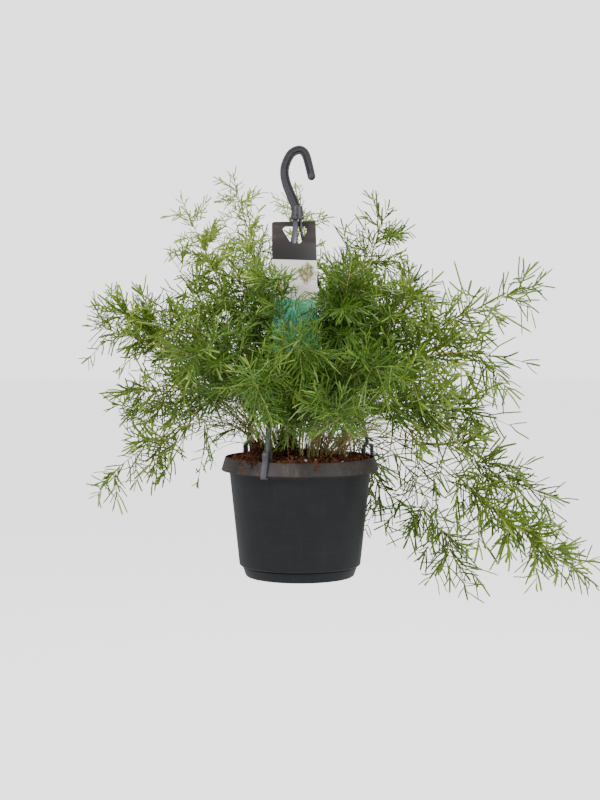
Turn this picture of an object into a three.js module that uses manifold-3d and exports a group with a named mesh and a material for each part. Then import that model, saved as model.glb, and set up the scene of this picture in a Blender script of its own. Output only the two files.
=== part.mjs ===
// Sprengeri asparagus fern in a hanging nursery pot, with its clip-on hanger and hang tag.
// Millimetres, +Z up. Every part is drawn with z = 0 on the pot's rim and +Y away from the viewer,
// and the finished group is then lowered so that the origin is where a rail carries the hook.
import * as THREE from "three";
import { mergeVertices } from "three/addons/utils/BufferGeometryUtils.js";
import Module from "manifold-3d";

const wasm = await Module();
wasm.setup();

// Driving dimensions
const SIDES = 24; // facets round the pot, saucer and soil
const CLEAR = 0.3; // gap between touching pieces
const WALL = 1.6; // moulded wall of the pot
const RIM_R = 86.5; // outside of the collar at its top edge
const COLLAR_R = 91; // outside of the collar at its flared foot
const COLLAR_H = 15.6;
const BODY_TOP_R = 81.8; // outside of the body under the collar
const BODY_FOOT_R = 70.2;
const BODY_FOOT_Z = -125;
const POT_FOOT_Z = -137.4; // the pot's foot ring stands in the saucer
const SAUCER_Z = -139.1;
const SAUCER_R = 66.8;
const DRAINS = 6;
const SOIL_EDGE_Z = -3.5;
const SOIL_CROWN_Z = 5;
const HANG_Z = 347.5; // top of the hook's crook, where the rail lies
const SOCKET_Z = 272.8; // mouth of the hook's socket
const SOCKET_X = -3.2; // the socket hangs a little to the left of the pot's axis
const SOCKET_R = 8;
const SOCKET_BORE = 6.7;
const HOOK_DEPTH = 8.6;
const LEG_AZIMUTHS = [26, 133, -108]; // degrees from the front, towards the left
const LEG_WIDTH = 6.8;
const CLIP_IN_R = 78.2; // where a clip's inner limb stands in the soil
const CLIP_TOP_Z = 12;
const LEG_HALF = 1.1; // half the strip's thickness
const TAG_HALF = 0.4; // half the card's thickness
const TAG_LEFT = -32.2;
const TAG_RIGHT = 18.6;
const TAG_ROLL = 1; // degrees

const INK = { pot: 0x2e3134, hanger: 0x55565a, soil: 0x4a2a1c, tag: 0x3c3436, leaf: 0x3f7a1e, young: 0x86a93c };
const finish = (color, roughness) => new THREE.MeshStandardMaterial({ color, roughness, metalness: 0 });
const FINISHES = {
  pot: finish(INK.pot, 0.5),
  hanger: finish(INK.hanger, 0.45),
  soil: finish(INK.soil, 0.95),
  tag: finish(INK.tag, 0.35),
  leaf: finish(INK.leaf, 0.6),
  young: finish(INK.young, 0.6),
};

const rad = THREE.MathUtils.degToRad;
const vec = (x, y, z) => new THREE.Vector3(x, y, z);

// Solids for cutting and joining

function solidFrom(geometry) {
  const bare = geometry.clone();
  bare.deleteAttribute("normal");
  bare.deleteAttribute("uv");
  const merged = mergeVertices(bare, 1e-4);
  return new wasm.Manifold(
    new wasm.Mesh({
      numProp: 3,
      vertProperties: merged.attributes.position.array,
      triVerts: new Uint32Array(merged.index.array),
    }),
  );
}

function geometryFrom(solid) {
  const mesh = solid.getMesh();
  const geometry = new THREE.BufferGeometry();
  geometry.setAttribute("position", new THREE.BufferAttribute(new Float32Array(mesh.vertProperties), 3));
  geometry.setIndex(new THREE.BufferAttribute(mesh.triVerts, 1));
  return geometry;
}

// Turns a profile of [radius, z] points into a closed solid of revolution about Z.
function lathe(profile) {
  const points = profile.map(([r, z]) => new THREE.Vector2(r, z));
  return new THREE.LatheGeometry(points, SIDES).rotateX(Math.PI / 2);
}

// A strip of even or changing half thickness along a flat centreline, as a closed outline.
function ribbonShape(points, halfAt) {
  const left = [];
  const right = [];
  points.forEach((p, i) => {
    const before = points[Math.max(i - 1, 0)];
    const after = points[Math.min(i + 1, points.length - 1)];
    const side = after.clone().sub(before).normalize();
    const half = halfAt(i / (points.length - 1));
    left.push(new THREE.Vector2(p.x - side.y * half, p.y + side.x * half));
    right.unshift(new THREE.Vector2(p.x + side.y * half, p.y - side.x * half));
  });
  return new THREE.Shape([...left, ...right]);
}

function extrude(shape, depth) {
  const geometry = new THREE.ExtrudeGeometry(shape, { depth, bevelEnabled: false, curveSegments: 6 });
  return geometry.translate(0, 0, -depth / 2);
}

const flat = (pairs) => pairs.map(([x, y]) => new THREE.Vector2(x, y));

// Pot, saucer and soil

function makePot() {
  const body = lathe([
    [0, -133],
    [54, -133],
    [55, POT_FOOT_Z],
    [61, POT_FOOT_Z],
    [64.2, -130.2],
    [63.8, -128.4],
    [64.6, -126.9],
    [BODY_FOOT_R - 1, -126.4],
    [BODY_FOOT_R, BODY_FOOT_Z],
    [BODY_TOP_R, -16.2],
    [COLLAR_R - 0.4, -COLLAR_H],
    [COLLAR_R, -14.8],
    [RIM_R, 0],
    [RIM_R - WALL, 0],
    [89, -14],
    [BODY_TOP_R - WALL, -14.6],
    [BODY_FOOT_R - WALL, -123.5],
    [62.8, -125.5],
    [59.9, -131.4],
    [0, -131.4],
  ]);
  let pot = solidFrom(body);
  for (let i = 0; i < DRAINS; i++) {
    const hole = new THREE.CylinderGeometry(4, 4, 6, 6).rotateX(Math.PI / 2).translate(40, 0, -132);
    pot = pot.subtract(solidFrom(hole.rotateZ((i * 2 * Math.PI) / DRAINS)));
  }
  return geometryFrom(pot);
}

// The clip-on water tray. Its lip bead sits in the groove of the pot's foot.
function makeSaucer() {
  return lathe([
    [0, SAUCER_Z],
    [61.3, SAUCER_Z],
    [63.1, SAUCER_Z + 1.2],
    [SAUCER_R, -127.4],
    [SAUCER_R - 1.8, -127.4],
    [64.15, -128.4],
    [64.6, -130.2],
    [61.9, POT_FOOT_Z - CLEAR],
    [0, POT_FOOT_Z - CLEAR],
  ]);
}

const soilTop = (r) => SOIL_CROWN_Z + (SOIL_EDGE_Z - SOIL_CROWN_Z) * Math.min(r / 85, 1) ** 2;

function makeSoil(stems) {
  const geometry = lathe([
    [0, -131],
    [59.4, -131],
    [62.3, -125.1],
    [68.2, -123.1],
    [79.8, -14.2],
    [88.4, -13.5],
    [85.4, soilTop(85)],
    [60, soilTop(60)],
    [30, soilTop(30)],
    [0, soilTop(0)],
  ]);
  // Crumbs: the open top is raised and lowered by a formula of its place.
  const position = geometry.attributes.position;
  for (let i = 0; i < position.count; i++) {
    const [x, y, z] = [position.getX(i), position.getY(i), position.getZ(i)];
    if (z > SOIL_EDGE_Z + 0.5) position.setZ(i, z + 1.3 * Math.sin(x * 0.31) * Math.cos(y * 0.27 + 1));
  }
  let soil = solidFrom(geometry);
  for (const stem of stems) {
    const hole = new THREE.CylinderGeometry(HOLE_R, HOLE_R, 40, 5).rotateX(Math.PI / 2);
    soil = soil.subtract(solidFrom(hole.translate(stem.base.x, stem.base.y, STEM_FOOT_Z - CLEAR + 20)));
  }
  for (const azimuth of LEG_AZIMUTHS) {
    const notch = new THREE.BoxGeometry(3.6, LEG_WIDTH + 1, 30).translate(CLIP_IN_R, 0, -8.6 + 15);
    soil = soil.subtract(solidFrom(notch.rotateZ(legTurn(azimuth))));
  }
  return geometryFrom(soil);
}

// Hanger

// The hook's centreline seen from the front, from the socket up and round to the free tip.
const HOOK_LINE = flat([
  [-3.4, 280.5],
  [-5.6, 289],
  [-10.6, 301],
  [-15.6, 314],
  [-17.8, 326],
  [-16, 337],
  [-9.8, 348.2],
  [-0.4, 352.3],
  [6, 347.8],
  [9.6, 337],
  [11.9, 327.5],
  [14.2, 317.6],
]);
const hookHalf = (t) => 5.5 - t;

function makeHook() {
  const line = new THREE.SplineCurve(HOOK_LINE).getPoints(22);
  let hook = solidFrom(extrude(ribbonShape(line, hookHalf), HOOK_DEPTH).rotateX(Math.PI / 2));
  // A shallow channel runs along each face, between the two flanges.
  const channel = extrude(ribbonShape(line.slice(4, -1), (t) => hookHalf(t) - 2.1), 3).rotateX(Math.PI / 2);
  for (const side of [-1, 1]) {
    hook = hook.subtract(solidFrom(channel.clone().translate(0, (side * (HOOK_DEPTH + 1)) / 2, 0)));
  }
  const socket = new THREE.CylinderGeometry(6.2, SOCKET_R, 16, 14).rotateX(Math.PI / 2);
  const bore = new THREE.CylinderGeometry(SOCKET_BORE, SOCKET_BORE, 20, 12).rotateX(Math.PI / 2);
  hook = hook.add(solidFrom(socket.translate(SOCKET_X, 0, SOCKET_Z + 8)));
  return geometryFrom(hook.subtract(solidFrom(bore.translate(SOCKET_X, 0, SOCKET_Z - 1))));
}

// A leg's flat outline faces along Y with +X outwards. This turn brings +X to the leg's azimuth.
const legTurn = (azimuth) => -Math.PI / 2 - rad(azimuth);
const LEG_LINE = flat([
  [4, 281],
  [4, 271],
  [4.6, 262],
  [7.2, 249],
  [14, 229],
  [26, 198],
  [42, 156],
  [57, 113],
  [69, 72],
  [78, 38],
  [83.8, CLIP_TOP_Z - 1],
]);
const CLIP_LINE = flat([
  [88, -17.6],
  [92.6, -17.6],
  [92.6, -14.4],
  [88.4, 1],
  [88.6, 6.5],
  [86.8, 10.6],
  [83.8, CLIP_TOP_Z + 0.2],
  [80.8, 10.9],
  [78.6, 7],
  [CLIP_IN_R, -8],
]);

function makeLeg(azimuth) {
  const half = () => LEG_HALF;
  const strip = (line) => solidFrom(extrude(ribbonShape(line, half), LEG_WIDTH).rotateX(Math.PI / 2));
  const leg = geometryFrom(strip(LEG_LINE).add(strip(CLIP_LINE))).rotateZ(legTurn(azimuth));
  const position = leg.attributes.position;
  for (let i = 0; i < position.count; i++) {
    position.setX(i, position.getX(i) + legShift(position.getZ(i)));
  }
  return leg;
}

// The legs lean towards the socket above the clips.
const legShift = (z) => (SOCKET_X * Math.max(0, z - CLIP_TOP_Z)) / (SOCKET_Z - CLIP_TOP_Z);

// Hang tag

// Seen from the side: behind the legs at its top edge, through between them, then down in front.
const TAG_LINE = flat([
  [7.9, 271],
  [7.4, 265],
  [2.6, 258.5],
  [-5.6, 251.6],
  [-11.2, 245],
  [-17, 230],
  [-27.9, 198],
  [-54.9, 122],
]);
const TAG_HOLE = flat([
  [-20, 262],
  [-17.5, 265],
  [5.5, 265],
  [8, 262],
  [6.8, 256],
  [0.4, 245.4],
  [-10.2, 245.4],
]);

function makeTag() {
  const width = TAG_RIGHT - TAG_LEFT;
  const sheet = extrude(ribbonShape(TAG_LINE, () => TAG_HALF), width);
  sheet.applyMatrix4(new THREE.Matrix4().makeBasis(vec(0, 1, 0), vec(0, 0, 1), vec(1, 0, 0)));
  sheet.translate((TAG_LEFT + TAG_RIGHT) / 2, 0, 0);
  const hole = extrude(new THREE.Shape(TAG_HOLE), 60).rotateX(Math.PI / 2);
  const card = solidFrom(sheet).subtract(solidFrom(hole));
  return geometryFrom(card).translate(0, 0, -250).rotateY(-rad(TAG_ROLL)).translate(0, 0, 250);
}

// Plant

const STEM_FOOT_Z = -11;
const STEM_R = 1.45; // corner radius of the three-sided stem at the soil
const HOLE_R = 2.2;
const WHORL_STEP = 21.5; // distance between whorls of needles on a main stem
const SHOOT_WHORL_STEP = 13;
const WHORL = 4; // needles in a whorl, of the six facets of its band
const BAND = 1.5; // length of the short band that a whorl's needles rise from
const SHOOT_STEP = 13; // distance between the places along a stem that a side shoot may leave from
const SHOOT_EVERY = 4; // one place in this many carries a shoot
const NEEDLE = 18;
const NEEDLE_R = 0.5;
const AIR = 0.35; // least gap kept between any two needles or stems

// Each stem: azimuth in degrees from the right towards the back, then the reach and height of its
// tip, of its lower control point and of its upper one, and 1 where its growth is young and pale.
const STEM_ROWS = [
  [-12, 337, -135, 74, 133, 162, -33, 0],
  [-3, 298, -48, 100, 101, 145, 1, 0],
  [24, 224, -178, 91, 46, 147, 7, 0],
  [50, 164, -102, 90, 60, 150, -4, 0],
  [8, 224, -112, 86, 53, 138, 19, 0],
  [3, 276, 198, 77, 110, 156, 158, 0],
  [-17, 263, 111, 84, 96, 130, 146, 0],
  [14, 259, 31, 73, 71, 152, 74, 0],
  [-32, 213, 15, 100, 63, 148, 93, 0],
  [36, 129, 287, 53, 105, 92, 212, 0],
  [-26, 163, 200, 69, 100, 110, 162, 0],
  [44, 203, 210, 80, 103, 124, 157, 0],
  [91, 66, 312, 29, 148, 51, 148, 1],
  [126, 136, 328, -14, 114, 98, 235, 1],
  [142, 181, 300, 60, 110, 137, 231, 1],
  [156, 169, 232, 73, 108, 130, 178, 0],
  [210, 205, 189, 77, 104, 148, 161, 0],
  [173, 239, 175, 71, 115, 172, 157, 0],
  [184, 244, 152, 68, 93, 169, 136, 0],
  [196, 216, 77, 92, 92, 154, 88, 0],
  [168, 205, 41, 82, 67, 145, 78, 0],
  [206, 237, -17, 89, 63, 157, 55, 0],
  [218, 229, -18, 78, 61, 170, 49, 0],
  [57, 113, 260, 61, 94, 83, 189, 0],
  [148, 75, 259, 24, 119, 58, 202, 1],
  [214, 90, 223, 32, 118, 77, 173, 0],
  [223, 61, 195, 18, 137, 50, 152, 0],
  [256, 86, 213, 62, 70, 76, 150, 0],
  [-58, 108, 228, 41, 133, 80, 133, 0],
  [-32, 91, 234, 43, 115, 52, 174, 0],
  [-90, 176, 146, 61, 120, 128, 120, 0],
  [-58, 196, 110, 67, 110, 142, 110, 0],
  [-107, 206, 84, 69, 98, 149, 98, 0],
  [-133, 206, 132, 69, 114, 149, 114, 0],
  [-76, 226, 34, 75, 77, 163, 77, 0],
  [-97, 138, 20, 50, 85, 101, 85, 0],
  [70, 206, 176, 69, 115, 149, 115, 0],
  [98, 184, 196, 63, 122, 134, 122, 0],
  [112, 228, 84, 76, 98, 165, 98, 0],
  [86, 236, 14, 78, 80, 171, 80, 0],
  [62, 224, 88, 75, 92, 162, 92, 0],
  [128, 226, 24, 75, 81, 163, 81, 0],
  [-44, 222, 84, 112, 79, 167, 115, 0],
  [30, 175, 145, 80, 86, 111, 140, 0],
];
const LEAFY_FROM = 0.34; // share of a stem's length that stays bare
const BASE_NEAR = 12; // distance of the most upright stem's foot from the axis
const BASE_FAR = 52;
const REACH_FAR = 300;

// A fixed pseudo-random number from 0 to 1 for a stem, a place along it and a purpose.
function draw(stem, place, purpose) {
  const wave = Math.sin(stem * 12.9898 + place * 78.233 + purpose * 37.719 + 4.1) * 43758.5453;
  return wave - Math.floor(wave);
}

class Stem {
  constructor(index, [azimuth, reach, tip, near, high, far, fall, young]) {
    this.index = index;
    this.young = young === 1;
    this.out = vec(Math.cos(rad(azimuth)), Math.sin(rad(azimuth)), 0);
    this.side = vec(-this.out.y, this.out.x, 0);
    const start = BASE_NEAR + (BASE_FAR - BASE_NEAR) * Math.min(reach / REACH_FAR, 1);
    const sway = (draw(index, 0, 1) - 0.5) * 0.12 * reach;
    const at = (r, across, z) => this.out.clone().multiplyScalar(r).addScaledVector(this.side, across).setZ(z);
    this.base = at(start, 0, STEM_FOOT_Z);
    const above = at(start, 0, soilTop(start) + 3);
    this.curve = new THREE.CubicBezierCurve3(above, at(near, 0, high), at(far, sway, fall), at(reach, 0, tip));
    this.length = this.curve.getLength();
  }

  get slots() {
    return Math.round((this.length * (0.94 - LEAFY_FROM)) / SHOOT_STEP);
  }

  // The side shoot in a slot along the stem: where it leaves, its run and its length.
  shoot(slot) {
    const along = LEAFY_FROM + ((0.94 - LEAFY_FROM) * (slot + 0.5)) / this.slots;
    const from = this.curve.getPointAt(along);
    const tangent = this.curve.getTangentAt(along);
    const turn = slot * 2.4 + draw(this.index, slot, 2) * 1.4;
    const level = vec(0, 0, 1).cross(tangent).normalize();
    const upper = tangent.clone().cross(level);
    const away = level.multiplyScalar(Math.cos(turn)).addScaledVector(upper, Math.sin(turn));
    const lean = 0.8 + 0.3 * draw(this.index, slot, 3);
    const run = tangent.multiplyScalar(Math.cos(lean)).addScaledVector(away, Math.sin(lean));
    const length = (0.75 + 0.5 * draw(this.index, slot, 4)) * (70 - 40 * along);
    return { along, from, run, length };
  }
}

const SHOOT_SAG = 0.16;
const shootPoint = ({ from, run, length }, s) =>
  from.clone().addScaledVector(run, s).add(vec(0, 0, (-SHOOT_SAG * s * s) / length));

// Keeps every needle, stem and moulding clear of the others.
class Space {
  constructor(cell) {
    this.cell = cell;
    this.cells = new Map();
    this.rows = [];
  }

  keys(a, b, reach) {
    const found = new Set();
    const steps = Math.max(1, Math.ceil(a.distanceTo(b) / (this.cell / 2)));
    const p = vec(0, 0, 0);
    for (let i = 0; i <= steps; i++) {
      p.lerpVectors(a, b, i / steps);
      for (const dx of [-reach, reach])
        for (const dy of [-reach, reach])
          for (const dz of [-reach, reach]) {
            const cell = [p.x + dx, p.y + dy, p.z + dz].map((c) => Math.floor(c / this.cell));
            found.add(cell.join(","));
          }
    }
    return found;
  }

  add(row) {
    this.rows.push(row);
    for (const key of this.keys(row.a, row.b, 0.01)) {
      if (!this.cells.has(key)) this.cells.set(key, []);
      this.cells.get(key).push(row);
    }
  }

  // True if a thin body from a to b of radius r touches nothing but what skip allows.
  clear(a, b, r, skip) {
    const seen = new Set();
    for (const key of this.keys(a, b, this.cell / 2)) {
      for (const row of this.cells.get(key) ?? []) {
        if (seen.has(row)) continue;
        seen.add(row);
        if (!skip(row) && segmentGap(a, b, row.a, row.b) < r + row.r + AIR) return false;
      }
    }
    return true;
  }
}

// Least distance between two straight segments.
function segmentGap(a, b, c, d) {
  const u = b.clone().sub(a);
  const v = d.clone().sub(c);
  const w = a.clone().sub(c);
  const [uu, uv, vv, uw, vw] = [u.dot(u), u.dot(v), v.dot(v), u.dot(w), v.dot(w)];
  const clamp = (x) => Math.min(1, Math.max(0, x));
  const det = uu * vv - uv * uv;
  let s = det > 1e-9 ? clamp((uv * vw - vv * uw) / det) : 0;
  const t = clamp((uv * s + vw) / vv);
  s = clamp((uv * t - uw) / uu);
  return w.addScaledVector(u, s).addScaledVector(v, -t).length();
}

// False where a point would lie in the pot, the soil or the collar.
function offPot(p) {
  const r = Math.hypot(p.x, p.y);
  if (p.z > 3) return true;
  if (r < 84) return p.z > soilTop(r) + 2;
  return r > COLLAR_R + 3.5;
}

const space = new Space(14);

function reserve(points, r) {
  for (let i = 1; i < points.length; i++) space.add({ a: points[i - 1], b: points[i], r });
}

function reserveHanger() {
  const spin = (azimuth) => (p) =>
    vec(p.x, 0, p.y).applyAxisAngle(vec(0, 0, 1), legTurn(azimuth)).add(vec(legShift(p.y), 0, 0));
  for (const azimuth of LEG_AZIMUTHS) {
    reserve(LEG_LINE.map(spin(azimuth)), 4);
    reserve(CLIP_LINE.map(spin(azimuth)), 4);
  }
  reserve(HOOK_LINE.map((p) => vec(p.x, 0, p.y)), 8);
  reserve([vec(-4, 0, 322), vec(-4, 0, 342)], 12);
  reserve([vec(SOCKET_X, 0, 268), vec(SOCKET_X, 0, 290)], 9.5);
  for (let x = TAG_LEFT - 2; x < TAG_RIGHT + 8; x += 6) {
    reserve(TAG_LINE.map((p) => vec(x + (260 - p.y) * Math.tan(rad(TAG_ROLL)), p.x, p.y)), 4);
  }
}

// Builds one closed surface: a three-sided stem, with shoots and needles drawn out of its own facets.
class Surface {
  constructor() {
    this.triangles = [];
  }

  face(a, b, c) {
    this.triangles.push(a, b, c);
  }

  // Draws a facet out to a point.
  spike([a, b, c], tip) {
    this.face(a, b, tip);
    this.face(b, c, tip);
    this.face(c, a, tip);
  }

  geometry() {
    const geometry = new THREE.BufferGeometry().setFromPoints(this.triangles);
    return mergeVertices(geometry, 1e-4);
  }
}

// Three corners round a centre, square to the direction, following on from the last three.
function nextRing(last, centre, direction, radius, twist) {
  const middle = last.reduce((sum, p) => sum.add(p), vec(0, 0, 0)).divideScalar(3);
  const first = last[0].clone().sub(middle);
  first.addScaledVector(direction, -first.dot(direction)).normalize();
  return [0, 1, 2].map((i) =>
    first
      .clone()
      .applyAxisAngle(direction, twist + (i * 2 * Math.PI) / 3)
      .multiplyScalar(radius)
      .add(centre),
  );
}

const centroid = (facet) =>
  vec(0, 0, 0)
    .add(facet[0])
    .add(facet[1])
    .add(facet[2])
    .divideScalar(3);

// The two triangles of one side between two rings.
function sidePair(low, high, i) {
  const j = (i + 1) % 3;
  return [
    [low[i], low[j], high[j]],
    [low[i], high[j], high[i]],
  ];
}

// Grows one axis from three starting corners. Each node is a place along it: a plain ring of corners,
// or a short band whose six facets carry needles and perhaps a shoot.
function growAxis(surface, axis, start, nodes) {
  let ring = start;
  for (const [n, node] of nodes.entries()) {
    const half = node.needles ? BAND / 2 : 0;
    const low = nextRing(ring, axis.point(node.s - half), axis.tangent(node.s), axis.radius(node.s), axis.twist);
    for (let i = 0; i < 3; i++) for (const facet of sidePair(ring, low, i)) surface.face(...facet);
    ring = low;
    if (!node.needles) continue;
    const high = nextRing(low, axis.point(node.s + half), axis.tangent(node.s), axis.radius(node.s), 0);
    growBand(surface, axis, node, [0, 1, 2].flatMap((i) => sidePair(low, high, i)), n);
    ring = high;
  }
  surface.spike(ring, axis.point(axis.length));
}

function growBand(surface, axis, node, facets, n) {
  const outs = facets.map((facet) => outOf(axis, node, facet));
  let taken = -1;
  if (node.shoot) {
    const order = [0, 1, 2, 3, 4, 5].sort((p, q) => outs[q].dot(node.shoot.run) - outs[p].dot(node.shoot.run));
    taken = order.slice(0, 2).find((k) => growShoot(surface, axis, node, facets[k])) ?? -1;
  }
  facets.forEach((facet, k) => {
    if (k === taken) return;
    const bare = (k + 2 * n) % 6 >= node.needles;
    if (bare || !growNeedle(surface, axis, node, facet, outs[k], k, n)) surface.face(...facet);
  });
}

// Square to the axis, from it through the middle of a facet.
function outOf(axis, node, facet) {
  const tangent = axis.tangent(node.s);
  const out = centroid(facet).sub(axis.point(node.s));
  return out.addScaledVector(tangent, -out.dot(tangent)).normalize();
}

function growNeedle(surface, axis, node, facet, out, k, n) {
  const seed = axis.seed + n * 7 + k;
  const from = centroid(facet);
  const tangent = axis.tangent(node.s);
  const across = tangent.clone().cross(out);
  const spread = (k % 2 ? -1 : 1) * (0.25 + 0.2 * draw(seed, 1, 5));
  const lean = 0.72 + 0.42 * draw(seed, 2, 5);
  const way = out.clone().multiplyScalar(Math.cos(spread)).addScaledVector(across, Math.sin(spread));
  way.multiplyScalar(Math.sin(lean)).addScaledVector(tangent, Math.cos(lean));
  const near = (row) => (row.axis === axis && Math.abs(row.s - node.s) < 7) || row.shootOf === node;
  for (const share of [1, 0.8, 0.6]) {
    const reach = axis.needle(node.s) * (0.8 + 0.35 * draw(seed, 3, 5)) * share;
    const tip = from.clone().addScaledVector(way, reach);
    const middle = from.clone().addScaledVector(way, reach / 2);
    if (!offPot(tip) || !offPot(middle)) continue;
    if (!space.clear(from.clone().addScaledVector(way, 1.4), tip, NEEDLE_R, near)) continue;
    surface.spike(facet, tip);
    space.add({ a: from, b: tip, r: NEEDLE_R, axis, s: node.s });
    return true;
  }
  return false;
}

// Reserves the way of a side shoot from one facet. It is grown after every main stem.
function growShoot(surface, axis, node, facet) {
  const near = (row) => row.axis === axis;
  const own = (row) => row.axis === axis && Math.abs(row.s - node.s) < 20;
  for (const share of [1, 0.75, 0.5]) {
    const child = shootAxis(node.shoot, centroid(facet), share, axis.seed);
    const points = [0.06, 0.3, 0.6, 1].map((s) => child.point(s * child.length));
    const free = points.every(
      (p, i) => offPot(p) && (i === 0 || space.clear(points[i - 1], p, 2, i === 1 ? near : own)),
    );
    if (!free) continue;
    points.slice(1).forEach((p, i) => {
      space.add({ a: points[i], b: p, r: 0.7, axis: child, s: [0.18, 0.45, 0.8][i] * child.length, shootOf: node });
    });
    pendingShoots.push({ surface, child, facet });
    return true;
  }
  return false;
}

function shootAxis(shoot, from, share, seed) {
  const run = { from, run: shoot.run, length: shoot.length };
  const length = shoot.length * share;
  return {
    seed: seed + 40 + Math.round(shoot.along * 1000),
    length,
    twist: 0.5,
    point: (s) => shootPoint(run, s),
    tangent: (s) =>
      shoot.run
        .clone()
        .add(vec(0, 0, (-2 * SHOOT_SAG * s) / shoot.length))
        .normalize(),
    radius: (s) => 0.72 - (0.2 * s) / length,
    needle: (s) => NEEDLE * (1 - (0.35 * s) / length),
  };
}

const pendingShoots = [];

function stemAxis(stem) {
  const { curve, length } = stem;
  return {
    seed: stem.index * 1000,
    length,
    twist: 0.45,
    point: (s) => curve.getPointAt(Math.min(Math.max(s / length, 0), 1)),
    tangent: (s) => curve.getTangentAt(Math.min(Math.max(s / length, 0), 1)),
    radius: (s) => STEM_R - ((STEM_R - 0.62) * s) / length,
    needle: (s) => NEEDLE * (1 - 0.3 * Math.max(0, s / length - 0.7)),
  };
}

function nodesAlong(from, to, step, needles) {
  const count = Math.max(1, Math.round((to - from) / step));
  return Array.from({ length: count }, (_, i) => ({ s: from + ((to - from) * (i + 0.5)) / count, needles }));
}

function prepareStem(stem) {
  const axis = stemAxis(stem);
  const leafy = axis.length * LEAFY_FROM;
  const nodes = [
    { s: 0, needles: 0 },
    ...nodesAlong(0, leafy, 30, 0),
    ...nodesAlong(leafy, axis.length - 3, WHORL_STEP, WHORL),
  ];
  for (let slot = stem.index % SHOOT_EVERY; slot < stem.slots; slot += SHOOT_EVERY) {
    const shoot = stem.shoot(slot);
    const at = shoot.along * axis.length;
    const free = nodes.filter((n) => !n.shoot && n.needles);
    free.sort((p, q) => Math.abs(p.s - at) - Math.abs(q.s - at));
    if (free.length) free[0].shoot = shoot;
  }
  const steps = Math.ceil(axis.length / 18);
  for (let i = 0; i < steps; i++) {
    const [s0, s1] = [i, i + 1].map((k) => (k * axis.length) / steps);
    space.add({ a: axis.point(s0), b: axis.point(s1), r: 1.3, axis, s: (s0 + s1) / 2 });
  }
  return { stem, axis, nodes };
}

function growStem({ stem, axis, nodes }) {
  const surface = new Surface();
  const seedRing = [vec(1, 0, 0), vec(-0.5, 0.87, 0), vec(-0.5, -0.87, 0)];
  const foot = nextRing(seedRing, stem.base, vec(0, 0, 1), STEM_R, 0);
  surface.face(foot[2], foot[1], foot[0]);
  growAxis(surface, axis, foot, nodes);
  return surface;
}

function growShootAxis({ surface, child, facet }) {
  const nodes = nodesAlong(4, child.length - 2, SHOOT_WHORL_STEP, WHORL);
  growAxis(surface, child, facet, nodes);
}

function makePlant(stems) {
  reserveHanger();
  const prepared = stems.map(prepareStem);
  const surfaces = prepared.map(growStem);
  pendingShoots.forEach(growShootAxis);
  return surfaces.map((surface) => surface.geometry());
}

// Assembly

const plant = new THREE.Group();

function place(name, geometry, material) {
  const mesh = new THREE.Mesh(geometry, material);
  mesh.name = name;
  plant.add(mesh);
}

const stems = STEM_ROWS.map((row, i) => new Stem(i, row));
place("pot", makePot(), FINISHES.pot);
place("saucer", makeSaucer(), FINISHES.pot);
place("soil", makeSoil(stems), FINISHES.soil);
place("hook", makeHook(), FINISHES.hanger);
LEG_AZIMUTHS.forEach((azimuth, i) => place(`hanger_leg_${i + 1}`, makeLeg(azimuth), FINISHES.hanger));
place("hang_tag", makeTag(), FINISHES.tag);
makePlant(stems).forEach((geometry, i) => {
  const name = `stem_${String(i + 1).padStart(2, "0")}`;
  place(name, geometry, stems[i].young ? FINISHES.young : FINISHES.leaf);
});
plant.position.z = -HANG_Z;

const part = new THREE.Group();
part.add(plant);
export default part;
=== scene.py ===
"""Dresses a sprengeri asparagus fern in its hanging pot, with the clip-on hanger and a bare hang tag.

Shapes are worked out in millimetres with z = 0 on the pot's rim, x to the right and y away from the
viewer, and are lowered into the part's own frame, in metres, when their meshes are made.
"""

from __future__ import annotations

import logging
import math
from collections.abc import Callable, Iterable, Sequence
from dataclasses import dataclass, field
from enum import Enum, IntEnum

import bpy
import numpy as np
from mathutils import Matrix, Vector, noise

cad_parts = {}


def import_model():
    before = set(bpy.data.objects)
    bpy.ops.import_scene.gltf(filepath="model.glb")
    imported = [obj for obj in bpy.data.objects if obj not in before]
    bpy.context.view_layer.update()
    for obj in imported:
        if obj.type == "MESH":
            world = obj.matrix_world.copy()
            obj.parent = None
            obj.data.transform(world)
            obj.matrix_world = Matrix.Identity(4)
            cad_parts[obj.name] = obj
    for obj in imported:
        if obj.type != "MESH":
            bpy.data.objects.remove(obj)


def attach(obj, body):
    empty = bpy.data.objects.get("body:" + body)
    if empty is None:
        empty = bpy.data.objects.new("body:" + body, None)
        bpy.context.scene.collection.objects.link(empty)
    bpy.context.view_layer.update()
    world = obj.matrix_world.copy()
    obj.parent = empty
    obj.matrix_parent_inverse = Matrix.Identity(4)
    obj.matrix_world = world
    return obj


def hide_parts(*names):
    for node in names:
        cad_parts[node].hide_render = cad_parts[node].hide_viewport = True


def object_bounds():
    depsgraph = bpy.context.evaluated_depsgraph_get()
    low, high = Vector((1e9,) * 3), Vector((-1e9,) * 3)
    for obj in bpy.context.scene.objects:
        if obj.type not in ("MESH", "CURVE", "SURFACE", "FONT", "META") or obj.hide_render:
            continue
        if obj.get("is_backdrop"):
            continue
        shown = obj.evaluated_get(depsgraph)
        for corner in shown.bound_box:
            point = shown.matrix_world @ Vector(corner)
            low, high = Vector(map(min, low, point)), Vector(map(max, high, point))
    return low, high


Color = tuple[float, float, float, float]
Shape = tuple[np.ndarray, list[np.ndarray]]  # points, and blocks of faces that number them
Socket = bpy.types.NodeSocket

LOG = logging.getLogger("asparagus_fern")
MM = 0.001
FULL_TURN = 6.283  # radians
UP = np.array([0.0, 0.0, 1.0])

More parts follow.
